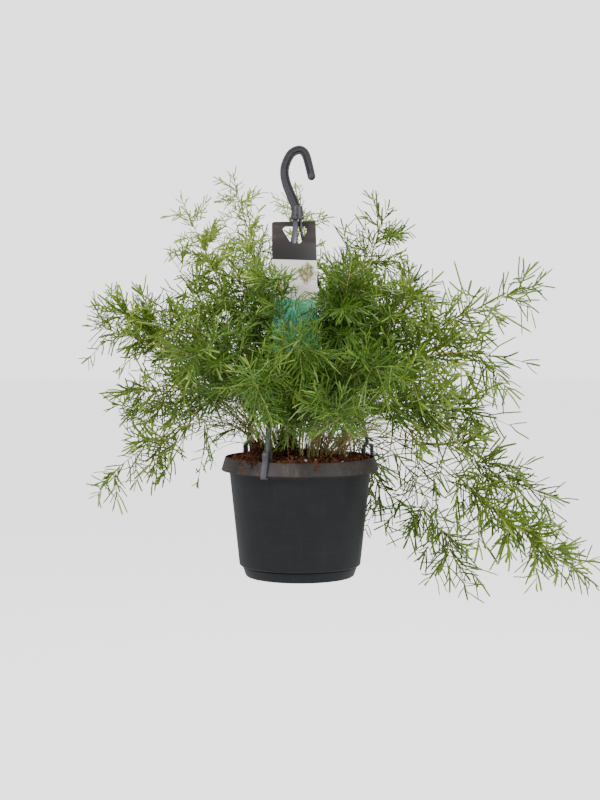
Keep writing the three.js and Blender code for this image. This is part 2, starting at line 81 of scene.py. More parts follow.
HANG_Z = 347.5  # height of the crook's inner top over the rim
POT_R = 86.5  # outside of the collar at its top edge
COLLAR_R = 91.0
COLLAR_H = 15.6
COLLAR_EDGE_Z = -14.8  # where the collar is widest
BODY_TOP_R = 81.8
BODY_FOOT_R = 70.2
POT_FOOT_Z = -137.4
SAUCER_Z = -139.1
SOIL_R = 85.0
SOIL_EDGE_Z = -3.5
SOIL_CROWN_Z = 5.0
SOCKET_X = -3.2
SOCKET_Z = 272.8
CLIP_TOP_Z = 12.0
LEG_AZIMUTHS = (26.0, 133.0, -108.0)  # degrees from the front, towards the left
LEG_WIDTH = 6.8
LEG_THICK = 2.2

HOOK_LINE = [
    (-3.4, 280.5), (-5.6, 289), (-10.6, 301), (-15.6, 314), (-17.8, 326), (-16, 337),
    (-9.8, 348.2), (-0.4, 352.3), (6, 347.8), (9.6, 337), (11.9, 327.5), (14.2, 317.6),
]  # fmt: skip
LEG_LINE = [
    (4, 281), (4, 271), (4.6, 262), (7.2, 249), (14, 229), (26, 198),
    (42, 156), (57, 113), (69, 72), (78, 38), (83.8, 11),
]  # fmt: skip
CLIP_LINE = [
    (88, -17.6), (92.6, -17.6), (92.6, -14.4), (88.4, 1), (88.6, 6.5),
    (86.8, 10.6), (83.8, 12.2), (80.8, 10.9), (78.6, 7), (78.2, -8),
]  # fmt: skip
TAG_LINE = [
    (7.9, 271), (7.4, 265), (2.6, 258.5), (-5.6, 251.6),
    (-11.2, 245), (-17, 230), (-27.9, 198), (-54.9, 122),
]  # fmt: skip
TAG_HOLE = [(-20, 262), (-17.5, 265), (5.5, 265), (8, 262), (6.8, 256), (0.4, 245.4), (-10.2, 245.4)]
TAG_LEFT = -32.2
TAG_RIGHT = 18.6
TAG_ROLL = 1.0  # degrees
TAG_ROLL_Z = 250  # the height that the card rolls about

# Each stem: azimuth in degrees from the right towards the back, then the reach and height of its
# tip, of its lower control point and of its upper one, and 1 where its growth is young and pale.
STEM_ROWS = [
    (-12, 337, -135, 74, 133, 162, -33, 0), (-3, 298, -48, 100, 101, 145, 1, 0),
    (24, 224, -178, 91, 46, 147, 7, 0), (50, 164, -102, 90, 60, 150, -4, 0),
    (8, 224, -112, 86, 53, 138, 19, 0), (3, 276, 198, 77, 110, 156, 158, 0),
    (-17, 263, 111, 84, 96, 130, 146, 0), (14, 259, 31, 73, 71, 152, 74, 0),
    (-32, 213, 15, 100, 63, 148, 93, 0), (36, 129, 287, 53, 105, 92, 212, 0),
    (-26, 163, 200, 69, 100, 110, 162, 0), (44, 203, 210, 80, 103, 124, 157, 0),
    (91, 66, 312, 29, 148, 51, 148, 1), (126, 136, 328, -14, 114, 98, 235, 1),
    (142, 181, 300, 60, 110, 137, 231, 1), (156, 169, 232, 73, 108, 130, 178, 0),
    (210, 205, 189, 77, 104, 148, 161, 0), (173, 239, 175, 71, 115, 172, 157, 0),
    (184, 244, 152, 68, 93, 169, 136, 0), (196, 216, 77, 92, 92, 154, 88, 0),
    (168, 205, 41, 82, 67, 145, 78, 0), (206, 237, -17, 89, 63, 157, 55, 0),
    (218, 229, -18, 78, 61, 170, 49, 0), (57, 113, 260, 61, 94, 83, 189, 0),
    (148, 75, 259, 24, 119, 58, 202, 1), (214, 90, 223, 32, 118, 77, 173, 0),
    (223, 61, 195, 18, 137, 50, 152, 0), (256, 86, 213, 62, 70, 76, 150, 0),
    (-58, 108, 228, 41, 133, 80, 133, 0), (-32, 91, 234, 43, 115, 52, 174, 0),
    (-90, 176, 146, 61, 120, 128, 120, 0), (-58, 196, 110, 67, 110, 142, 110, 0),
    (-107, 206, 84, 69, 98, 149, 98, 0), (-133, 206, 132, 69, 114, 149, 114, 0),
    (-76, 226, 34, 75, 77, 163, 77, 0), (-97, 138, 20, 50, 85, 101, 85, 0),
    (70, 206, 176, 69, 115, 149, 115, 0), (98, 184, 196, 63, 122, 134, 122, 0),
    (112, 228, 84, 76, 98, 165, 98, 0), (86, 236, 14, 78, 80, 171, 80, 0),
    (62, 224, 88, 75, 92, 162, 92, 0), (128, 226, 24, 75, 81, 163, 81, 0),
    (-44, 222, 84, 112, 79, 167, 115, 0), (30, 175, 145, 80, 86, 111, 140, 0),
]  # fmt: skip
LOOSE_STEMS = 9  # the first rows, at the right, grow more openly
BASE_NEAR = 12.0
BASE_FAR = 52.0
REACH_FAR = 300.0
STEM_FOOT_Z = -11.0
LEAFY_FROM = 0.34  # the usual side shoots leave between these shares of a stem's length
LEAFY_TO = 0.94
SHOOT_STEP = 13.0
SHOOT_EVERY = 4  # one whole slot in this many carries a shoot in the solids too
SHOOT_TURN = 2.4  # radians round the stem from one slot to the next
SHOOT_SAG = 0.16
HEART_Z = 90.0  # the height of the crown's heart
HEART_R = 80.0  # within this distance of it the growth is inner growth
NEEDLE_SLOT = 0
BARK_SLOT = 1

# Where the crown grows fuller than its rule gives or, with a gain under 0, thinner. Each patch: its
# middle, its reach and its gain.
GROWTH_ROWS = (
    # The heart of the crown, towards the viewer, and deep inside, over the soil
    (10, -110, 90, 80, 0.6), (0, 0, 50, 75, 0.7), (20, -30, 70, 45, 0.8),
    # Low at the left, over the collar
    (-72, -40, 30, 20, 3.0),
    # The upper arm at the left
    (-120, -40, 135, 50, 0.7), (-165, 20, 160, 26, 1.9), (-205, 0, 165, 40, 1.1),
    # The lower arm at the left
    (-190, -50, 62, 24, 2.2), (-160, -95, 8, 20, 1.4), (-205, -105, -20, 20, 2.0),
    # The plume at the upper left
    (-106, 88, 244, 34, 3.0), (-88, 52, 186, 36, 2.0),
    # Before the tag's left half, while its foot stays in view
    (-38, -40, 204, 30, 1.6), (-30, -82, 208, 26, 3.0), (-2, -80, 162, 26, -1.2),
    # Right of the tag, over its strip, and behind it
    (46, -72, 192, 34, 2.6), (52, 75, 200, 26, 1.2), (42, -45, 158, 32, 2.0),
    (28, 0, 168, 28, 2.5), (28, 45, 165, 28, 2.0), (-48, 0, 150, 28, 1.5),
    # The plume at the upper right
    (96, 62, 246, 36, 1.7), (100, 75, 190, 30, 1.5), (126, -60, 184, 32, 1.4), (130, 120, 198, 32, 1.4),
    # Over the right rim, and the shoulder above it
    (72, -10, 46, 20, 2.0), (114, 0, 25, 20, -1.2), (100, -60, 120, 55, 0.4),
    # The middle arm at the right
    (195, 0, 118, 40, 0.9), (178, 20, 68, 30, 1.2), (218, -20, 24, 32, 1.8),
    # Between the trailing stems, and the long trailing stem
    (132, 75, -95, 26, 2.4), (245, -50, -78, 36, 1.0), (288, -58, -102, 34, 1.6), (216, 46, 34, 24, 2.0),
    # The gaps beside the plume at the upper left
    (-150, 80, 262, 26, -1.6), (-140, 61, 206, 30, -1.4), (-66, 60, 248, 18, -1.3),
    (-150, -60, 205, 36, -0.9), (-162, -80, 200, 26, -0.9),
    # The gap between the two arms at the left
    (-215, -20, 122, 28, -1.6), (-205, -50, 96, 24, -1.4), (-160, -20, 105, 34, -0.9),
    (-200, -70, 30, 24, -1.2),
    # The low left
    (-150, -70, 32, 30, -1.3), (-185, -118, -20, 28, -1.6), (-114, -75, 24, 28, -2.2),
    (-104, 22, 50, 24, -1.5), (-130, 165, 30, 30, -1.5),
    # Left of the plume at the upper right
    (64, 80, 242, 28, -1.2), (72, -50, 232, 24, -0.8),
    # Over the arm at the right, and the tips there
    (210, 5, 192, 34, -0.8), (240, -60, 130, 34, -0.7), (240, 40, 70, 34, -0.7),
    # Over the trailing stems, and behind them
    (165, -106, 26, 30, -1.6), (150, -20, 12, 28, -1.4), (182, -12, 5, 24, -1.6),
    (160, 60, -30, 60, -0.8), (165, 50, -52, 34, -1.0), (192, 45, -75, 30, -1.4), (208, 30, -90, 24, -1.2),
    # The short stem behind the pot, and the far right
    (104, 124, -85, 30, -0.7), (275, -10, 5, 34, -0.9),
    # Before the front strip
    (-36, -78, 34, 16, 3.0),
    # Small touches
    (-107, -84, 38, 20, -1.6), (-109, -53, 43, 20, -1.4), (-163, -47, 83, 22, -0.8),
    (228, 57, 40, 22, -1.4), (200, 28, -79, 20, -1.0), (152, -20, 138, 18, -0.9), (-68, -22, 60, 18, -1.2),
    (262, 0, 218, 20, -1.2), (262, 10, 186, 18, 1.2), (128, 70, -50, 22, 0.7), (155, 60, -95, 20, 1.2),
    (-44, 60, 250, 13, 1.6), (-100, 72, 244, 18, 1.4),
)  # fmt: skip


class Finish(Enum):
    """Names of the finishes of the new pieces, which are handed on with them but not read."""

    POT = "pot_plastic"
    HANGER = "hanger_plastic"
    SOIL = "soil"
    TAG = "tag_card"
    FOLIAGE = "foliage"
    YOUNG = "foliage_young"


class Habit(Enum):
    """The ways in which stems grow: their needles' length and widths, and their shoots' whorls."""

    USUAL = (18.5, 1.15, 1.95, 4.5)
    LOOSE = (27.0, 1.5, 2.35, 7.4)
    YOUNG = (13.0, 1.25, 1.65, 4.6)

    def __init__(self, needle: float, inner_wide: float, outer_wide: float, shoot_whorl: float) -> None:
        """Names the values.

        Args:
            needle: the usual length of a needle.
            inner_wide: its width near the crown's heart.
            outer_wide: its width among the outer tips.
            shoot_whorl: the distance between the whorls of a side shoot.
        """
        self.needle = needle
        self.inner_wide = inner_wide
        self.outer_wide = outer_wide
        self.shoot_whorl = shoot_whorl


class Purpose(IntEnum):
    """What a fixed pseudo-random number is for."""

    SWAY = 1
    SHOOT_TURN = 2
    SHOOT_LEAN = 3
    SHOOT_LENGTH = 4
    FOOT_TONE = 5
    SHOOT_GROWS = 7
    SIDE_LENGTH = 8
    SIDE_TURN = 9
    SIDE_DRIFT = 10
    SIDE_TONE = 11
    SIDE_APART = 12


@dataclass(frozen=True)
class Patch:
    """A round part of the crown that grows fuller, or thinner, than the rest."""

    place: tuple[float, float, float]
    reach: float
    gain: float


GROWTH = tuple(Patch((x, y, z), reach, gain) for x, y, z, reach, gain in GROWTH_ROWS)


# Places and lines


def draw(stem: float, place: float, purpose: Purpose) -> float:
    """Gives a fixed pseudo-random number.

    Args:
        stem: number of the stem.
        place: number of the place along it.
        purpose: what the number is for.

    Returns:
        A number from 0 to 1, the same on every run.
    """
    wave = math.sin(stem * 12.9898 + place * 78.233 + purpose * 37.719 + 4.1) * 43758.5453
    return wave - math.floor(wave)


def fullness(here: np.ndarray) -> float | np.ndarray:
    """Gives how full the growth is at points, where 1 is the usual."""
    near = [p.gain * np.exp(-(((here - p.place) / p.reach) ** 2).sum(axis=-1)) for p in GROWTH]
    return 1.0 + sum(near)


def outwardness(p: np.ndarray) -> np.ndarray:
    """Gives how far out of the crown points lie: 0 near its heart, 1 among its outer tips."""
    return np.clip(np.hypot(p[:, 0], p[:, 2] - HEART_Z) / HEART_R - 1.0, 0, 1)


def soil_top(r: float | np.ndarray) -> float | np.ndarray:
    """Gives the height of the soil's smooth mound at a distance from the axis."""
    return SOIL_CROWN_Z + (SOIL_EDGE_Z - SOIL_CROWN_Z) * np.minimum(np.asarray(r) / SOIL_R, 1.0) ** 2


def unit(v: np.ndarray) -> np.ndarray:
    """Scales vectors along the last axis to length 1."""
    return v / np.maximum(np.linalg.norm(v, axis=-1, keepdims=True), 1e-9)


def smooth_line(points: Sequence[Sequence[float]], steps: int) -> np.ndarray:
    """Runs a smooth curve through points, as a Catmull-Rom spline does.

    Args:
        points: the points it passes, each with two or three numbers.
        steps: the number of stretches it is cut into.

    Returns:
        An array of steps + 1 points, spread evenly along the curve's length.
    """
    p = np.array(points, dtype=float)
    padded = np.vstack([2 * p[0] - p[1], p, 2 * p[-1] - p[-2]])
    t = np.linspace(0, 1, 24, endpoint=False)[:, None]
    fine = []
    for i in range(len(p) - 1):
        a, b, c, d = padded[i : i + 4]
        square, cube = 2 * a - 5 * b + 4 * c - d, 3 * b - a - 3 * c + d
        fine.append(0.5 * (2 * b + (c - a) * t + square * t**2 + cube * t**3))
    return spread(np.vstack([*fine, p[-1:]]), steps)


def spread(line: np.ndarray, steps: int) -> np.ndarray:
    """Places points evenly along a polyline.

    Args:
        line: its points.
        steps: the number of stretches it is cut into.

    Returns:
        An array of steps + 1 points.
    """
    along = lengths(line)
    want = np.linspace(0, along[-1], steps + 1)
    return np.stack([np.interp(want, along, line[:, k]) for k in range(line.shape[1])], axis=1)


def lengths(line: np.ndarray) -> np.ndarray:
    """Gives how far along a polyline each of its points lies."""
    return np.concatenate([[0], np.cumsum(np.linalg.norm(np.diff(line, axis=0), axis=1))])


def rounded(corners: Iterable[Sequence[float]], steps: int = 4, closed: bool = False) -> np.ndarray:
    """Rounds a polyline's corners.

    Args:
        corners: (x, y) or (x, y, radius) for each corner.
        steps: points for each rounded corner.
        closed: whether the last corner runs on to the first.

    Returns:
        The points of the rounded line.
    """
    rows = [tuple(c) + (0.0,) * (3 - len(c)) for c in corners]
    out: list[np.ndarray] = []
    for i, (x, y, r) in enumerate(rows):
        here = np.array([x, y])
        if r <= 0 or (not closed and i in (0, len(rows) - 1)):
            out.append(here)
            continue
        before = np.array(rows[i - 1][:2]) - here
        after = np.array(rows[(i + 1) % len(rows)][:2]) - here
        turn = math.acos(float(np.clip(unit(before) @ unit(after), -1, 1)))
        most = 0.45 * min(np.linalg.norm(before), np.linalg.norm(after))
        reach = min(r / max(math.tan(turn / 2), 1e-3), most)
        start, end = here + unit(before) * reach, here + unit(after) * reach
        for t in np.linspace(0, 1, steps + 1):
            out.append((1 - t) ** 2 * start + 2 * t * (1 - t) * here + t**2 * end)
    return np.array(out)


def upright(xz: np.ndarray, y: float = 0.0) -> np.ndarray:
    """Stands flat (x, z) points up in space, facing the viewer."""
    return np.stack([xz[:, 0], np.full(len(xz), y), xz[:, 1]], axis=1)


def leg_outward(azimuth: float) -> np.ndarray:
    """Gives the level direction from the axis towards a leg's clip."""
    turn = -math.pi / 2 - math.radians(azimuth)
    return np.array([math.cos(turn), math.sin(turn), 0.0])


def leg_place(flat: np.ndarray, outward: np.ndarray) -> np.ndarray:
    """Places a leg's flat points in space, where the leg leans towards the socket.

    Args:
        flat: its (distance from the axis, height) points.
        outward: the level direction towards its clip.

    Returns:
        The points in space.
    """
    line = flat[:, :1] * outward + flat[:, 1:] * UP
    line[:, 0] += SOCKET_X * np.maximum(0.0, line[:, 2] - CLIP_TOP_Z) / (SOCKET_Z - CLIP_TOP_Z)
    return line


# Shapes


@dataclass
class MeshBatch:
    """Collects shapes and turns them into one mesh object."""

    name: str
    points: list[np.ndarray] = field(default_factory=list)
    faces: list[tuple[np.ndarray, int]] = field(default_factory=list)
    tones: list[np.ndarray] = field(default_factory=list)
    count: int = 0

    def add(
        self, points: np.ndarray, faces: Iterable[np.ndarray], slot: int = 0, tone: float | np.ndarray = 0.0
    ) -> None:
        """Adds a shape.

        Args:
            points: its points in millimetres.
            faces: arrays of point numbers, one row for each face, all of one width in an array.
            slot: the material slot of its faces.
            tone: the shade of each point, from 0 to 1, or one for them all.
        """
        self.points.append(points)
        self.tones.append(np.broadcast_to(np.asarray(tone, dtype=float), (len(points),)).copy())
        for block in faces:
            self.faces.append((np.asarray(block, dtype=np.int64) + self.count, slot))
        self.count += len(points)

    def build(self, materials: Sequence[bpy.types.Material] = (), sharp: float = 40.0) -> bpy.types.Object:
        """Makes the object.

        Args:
            materials: its material slots in order.
            sharp: edges that turn by more than this many degrees stay sharp.

        Returns:
            The new object, linked to the scene.
        """
        points = np.vstack(self.points)
        points[:, 2] -= HANG_Z
        points *= MM
        mesh = bpy.data.meshes.new(self.name)
        mesh.vertices.add(len(points))
        mesh.vertices.foreach_set("co", points.astype(np.float32).ravel())
        widths = np.concatenate([np.full(len(f), f.shape[1]) for f, _ in self.faces])
        loops = np.concatenate([f.ravel() for f, _ in self.faces])
        mesh.loops.add(len(loops))
        mesh.loops.foreach_set("vertex_index", loops.astype(np.int32))
        mesh.polygons.add(len(widths))
        starts = np.concatenate([[0], np.cumsum(widths)[:-1]])
        mesh.polygons.foreach_set("loop_start", starts.astype(np.int32))
        mesh.polygons.foreach_set("loop_total", widths.astype(np.int32))
        slots = np.concatenate([np.full(len(f), s) for f, s in self.faces])
        mesh.polygons.foreach_set("material_index", slots.astype(np.int32))
        mesh.polygons.foreach_set("use_smooth", np.ones(len(widths), dtype=bool))
        tone = mesh.attributes.new("tone", "FLOAT", "POINT")
        tone.data.foreach_set("value", np.concatenate(self.tones).astype(np.float32))
        mesh.update(calc_edges=True)
        mesh.validate()
        mesh.set_sharp_from_angle(angle=math.radians(sharp))
        for material in materials:
            mesh.materials.append(material)
        piece = bpy.data.objects.new(self.name, mesh)
        bpy.context.scene.collection.objects.link(piece)
        return piece


def ring_faces(rings: int, sides: int) -> np.ndarray:
    """Numbers the quads between rings of points.

    Args:
        rings: how many rings there are.
        sides: points in each ring.

    Returns:
        An array of quads, facing out where rings follow a line and points run round it.
    """
    i, j = (a.ravel() for a in np.meshgrid(np.arange(rings - 1), np.arange(sides), indexing="ij"))
    k = (j + 1) % sides
    return np.stack([i * sides + j, i * sides + k, (i + 1) * sides + k, (i + 1) * sides + j], axis=1)


def fan(first: int, sides: int, tip: int, last: bool) -> np.ndarray:
    """Numbers the triangles that close a ring of points to one point.

    Args:
        first: the number of the ring's first point.
        sides: points in the ring.
        tip: the number of the point that closes it.
        last: whether the ring is the last on its line, not the first.

    Returns:
        An array of triangles that face out.
    """
    j = np.arange(sides)
    k = (j + 1) % sides
    pair = (first + j, first + k) if last else (first + k, first + j)
    return np.stack([*pair, np.full(sides, tip)], axis=1)


def skin(rings: Sequence[np.ndarray], foot: Sequence[float], tip: Sequence[float]) -> Shape:
    """Covers rings of points with faces and closes both ends.

    Args:
        rings: the rings in order, each with the same number of points running round.
        foot: the point that closes the first ring.
        tip: the point that closes the last ring.

    Returns:
        The shape.
    """
    sides = len(rings[0])
    total = sides * len(rings)
    ends = [fan(0, sides, total, False), fan(total - sides, sides, total + 1, True)]
    return np.vstack([*rings, [foot], [tip]]), [ring_faces(len(rings), sides), *ends]


def hoop(r: float, z: float, sides: int) -> np.ndarray:
    """Gives points spread evenly round the axis at one radius and height."""
    turn = np.linspace(0, 2 * math.pi, sides, endpoint=False)
    return np.stack([r * np.cos(turn), r * np.sin(turn), np.full(sides, float(z))], axis=1)


def turned(profile: np.ndarray, sides: int) -> Shape:
    """Turns a profile of (radius, z) points about Z, from the axis round the outside and back to it."""
    rings = [hoop(r, z, sides) for r, z in profile[1:-1]]
    return skin(rings, (0, 0, profile[0, 1]), (0, 0, profile[-1, 1]))


def sweep(line: np.ndarray, sections: Callable[[float], np.ndarray], across: np.ndarray) -> Shape:
    """Draws a section along a flat curve.

    Args:
        line: points of the curve, which lies square to across.
        sections: gives the section's (in plane, across) points for a share of the length.
        across: the direction square to the curve's plane.

    Returns:
        The shape.
    """
    side = unit(np.cross(across, unit(np.gradient(line, axis=0))))
    rings = []
    for i, share in enumerate(np.linspace(0, 1, len(line))):
        section = sections(share)
        rings.append(line[i] + section[:, :1] * side[i] + section[:, 1:] * across)
    return skin(rings, line[0], line[-1])


def tube(batch: MeshBatch, line: np.ndarray, radii: np.ndarray, sides: int, tone: np.ndarray | float) -> None:
    """Adds a round stem that ends in a point, with its foot open inside what it grows from.

    Args:
        batch: where it goes.
        line: points of its centreline.
        radii: its radius at each point.
        sides: facets round it.
        tone: the shade at each point of the line, or one for them all.
    """
    tangent = unit(np.gradient(line, axis=0))
    first = unit(np.cross(tangent[0], UP if abs(tangent[0][2]) < 0.9 else np.array([1.0, 0, 0])))
    turn = np.linspace(0, 2 * math.pi, sides, endpoint=False)
    rings = []
    for here, ahead, radius in zip(line, tangent, radii):
        first = unit(first - ahead * (first @ ahead))
        second = np.cross(ahead, first)
        rings.append(here + radius * (np.cos(turn)[:, None] * first + np.sin(turn)[:, None] * second))
    total = sides * len(rings)
    faces = [ring_faces(len(rings), sides), fan(total - sides, sides, total, True)]
    shades = np.broadcast_to(np.asarray(tone, dtype=float), (len(line),))
    points = np.vstack([*rings, line[-1:] + tangent[-1:] * radii[-1] * 2])
    batch.add(points, faces, BARK_SLOT, np.append(np.repeat(shades, sides), shades[-1]))


@dataclass
class Blades:
    """Flattened, slightly curved blades, with one row or number for each."""

    start: np.ndarray
    way: np.ndarray
    bend: np.ndarray
    length: np.ndarray
    tangent: np.ndarray
    wide: np.ndarray
    shade: np.ndarray

    def add_to(self, batch: MeshBatch) -> None:
        """Adds the blades: three rings of three points each, and a pointed tip.

        Args:
            batch: where they go.
        """
        side = unit(np.cross(self.way, self.tangent) + 1e-6)
        thick = np.cross(self.way, side)
        corners = []
        for t, w in ((0.0, 0.65), (0.5, 1.0), (0.92, 0.9)):
            centre = self.start + self.way * (self.length * t)[:, None] + self.bend * t**2
            half = (self.wide * w * 0.5)[:, None]
            corners += [centre - side * half - thick * half * 0.3, centre + side * half - thick * half * 0.3]
            corners.append(centre + thick * half * 0.75)
        corners.append(self.start + self.way * self.length[:, None] + self.bend)
        first = len(corners) * np.arange(len(self.start))[:, None]
        quads = [first + quad for quad in ring_faces(3, 3)]
        ends = [first + triangle for triangle in fan(6, 3, 9, True)]
        tones = self.shade[:, None] + np.array([-0.08] * 3 + [0.0] * 3 + [0.03] * 3 + [0.08])
        points = np.stack(corners, axis=1).reshape(-1, 3)
        batch.add(points, [np.vstack(quads), np.vstack(ends)], NEEDLE_SLOT, np.clip(tones, 0, 1).ravel())


def carve(piece: bpy.types.Object, cutter: bpy.types.Object) -> None:
    """Cuts one object out of another and deletes it.

    Args:
        piece: what stays.
        cutter: what is cut out.
    """
    cut = piece.modifiers.new("cut", "BOOLEAN")
    cut.operation = "DIFFERENCE"
    cut.solver = "EXACT"
    cut.object = cutter
    bpy.context.view_layer.update()
    shaped = bpy.data.meshes.new_from_object(piece.evaluated_get(bpy.context.evaluated_depsgraph_get()))
    piece.modifiers.clear()
    piece.data = shaped
    bpy.data.objects.remove(cutter)


def seat(piece: bpy.types.Object, finish: Finish, *nodes: str) -> None:
    """Fixes a piece to the part's body and reports it.

    Args:
        piece: the new piece.
        finish: the name of its finish; not used.
        nodes: the nodes that it stands for.
    """
    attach(piece, "root")
    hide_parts(*nodes)
    LOG.info("%s: %d faces", piece.name, len(piece.data.polygons))


# Shaders


def rgb(red: float, green: float, blue: float) -> Color:
    """Turns an everyday colour from 0 to 255 into the shader's linear one.

    Args:
        red: its red.
        green: its green.
        blue: its blue.

    Returns:
        The colour, opaque.
    """

    def linear(c: float) -> float:
        """Undoes the screen's curve on one channel."""
        c /= 255.0
        return c / 12.92 if c <= 0.04045 else ((c + 0.055) / 1.055) ** 2.4

    return (linear(red), linear(green), linear(blue), 1.0)


@dataclass
class Wiring:
    """Short ways to add and join nodes in one tree."""

    tree: bpy.types.NodeTree

    def node(self, kind: str, **values: object) -> bpy.types.Node:
        """Adds a node.

        Args:
            kind: its type, without the leading ShaderNode.
            values: inputs by name with underscores for spaces, or settings by their own name.

        Returns:
            The node.
        """
        made = self.tree.nodes.new("ShaderNode" + kind)
        for key, value in values.items():
            if hasattr(made, key):
                setattr(made, key, value)
            else:
                self.feed(made.inputs[key.replace("_", " ")], value)
        return made

    def feed(self, socket: Socket, value: object) -> None:
        """Joins a socket to another, or sets its value.

        Args:
            socket: the input.
            value: an output to join it to, or its value.
        """
        if isinstance(value, Socket):
            self.tree.links.new(value, socket)
        else:
            socket.default_value = value

    def math(self, operation: str, a: object, b: object = 0.0, clamp: bool = False) -> Socket:
        """Adds a step with one or two numbers.

        Args:
            operation: what it does.
            a: the first number.
            b: the second.
            clamp: whether the result stays from 0 to 1.

        Returns:
            The result.
        """
        made = self.node("Math", operation=operation, use_clamp=clamp)
        self.feed(made.inputs[0], a)
        self.feed(made.inputs[1], b)
        return made.outputs[0]

    def plus(self, a: object, b: object, clamp: bool = False) -> Socket:
        """Adds two numbers."""
        return self.math("ADD", a, b, clamp)

    def minus(self, a: object, b: object) -> Socket:
        """Takes one number from another."""
        return self.math("SUBTRACT", a, b)

    def times(self, a: object, b: object, clamp: bool = False) -> Socket:
        """Multiplies two numbers."""
        return self.math("MULTIPLY", a, b, clamp)

    def span(
        self, value: object, low: float, high: float, to_low: float = 0.0, to_high: float = 1.0
    ) -> Socket:
        """Maps a value from one range to another, smoothly and without passing its ends.

        Args:
            value: the value.
            low: what becomes to_low.
            high: what becomes to_high.
            to_low: the result at low.
            to_high: the result at high.

        Returns:
            The result.
        """
        made = self.node("MapRange", interpolation_type="SMOOTHSTEP", Value=value)
        for name, end in (("From Min", low), ("From Max", high), ("To Min", to_low), ("To Max", to_high)):
            self.feed(made.inputs[name], end)
        return made.outputs[0]

    def mix(self, share: object, a: object, b: object, blend: str = "MIX") -> Socket:
        """Mixes two colours.

        Args:
            share: how much of the second is taken, from 0 to 1.
            a: the first.
            b: the second.
            blend: how they are mixed.

        Returns:
            The mixed colour.
        """
        made = self.node("Mix", data_type="RGBA", blend_type=blend)
        for number, value in ((0, share), (6, a), (7, b)):
            self.feed(made.inputs[number], value)
        return made.outputs[2]

    def noise(self, place: object, scale: object, detail: float = 3.0, rough: float = 0.55) -> Socket:
        """Adds cloudy noise over a place and gives its value."""
        made = self.node("TexNoise", Vector=place, Scale=scale, Detail=detail, Roughness=rough)
        return made.outputs["Fac"]

    def stretched(self, place: object, scale: tuple[float, float, float]) -> Socket:
        """Scales a place along its axes, so that what is painted over it is drawn out."""
        return self.node("Mapping", Vector=place, Scale=scale).outputs[0]

    def place(self) -> Socket:
        """Gives the point's own place in metres."""
        return self.tree.nodes.new("ShaderNodeTexCoord").outputs["Object"]

    def tone(self) -> Socket:
        """Gives the shade that each point of the mesh carries."""
        return self.node("Attribute", attribute_name="tone").outputs["Fac"]


def make_group(
    name: str, inputs: Sequence[tuple[str, str, object]], outputs: Sequence[tuple[str, str]]
) -> tuple[Wiring, bpy.types.bpy_prop_collection, bpy.types.bpy_prop_collection]:
    """Starts a shader node group.

    Args:
        name: its name.
        inputs: name, socket type and first value of each input.
        outputs: name and socket type of each output.

    Returns:
        Its wiring, the sockets that bring its inputs and the sockets that take its outputs.
    """
    tree = bpy.data.node_groups.new(name, "ShaderNodeTree")
    for label, kind, value in inputs:
        socket = tree.interface.new_socket(name=label, in_out="INPUT", socket_type="NodeSocket" + kind)
        if value is not None:
            socket.default_value = value
    for label, kind in outputs:
        tree.interface.new_socket(name=label, in_out="OUTPUT", socket_type="NodeSocket" + kind)
    return Wiring(tree), tree.nodes.new("NodeGroupInput").outputs, tree.nodes.new("NodeGroupOutput").inputs


def start_material(name: str) -> tuple[bpy.types.Material, Wiring, bpy.types.bpy_prop_collection]:
    """Makes a material with its main shader.

    Args:
        name: the material's name.

    Returns:
        The material, its wiring and the inputs of its Principled BSDF.
    """
    material = bpy.data.materials.new(name)
    material.use_nodes = True
    shader = next(n for n in material.node_tree.nodes if n.type == "BSDF_PRINCIPLED")
    return material, Wiring(material.node_tree), shader.inputs


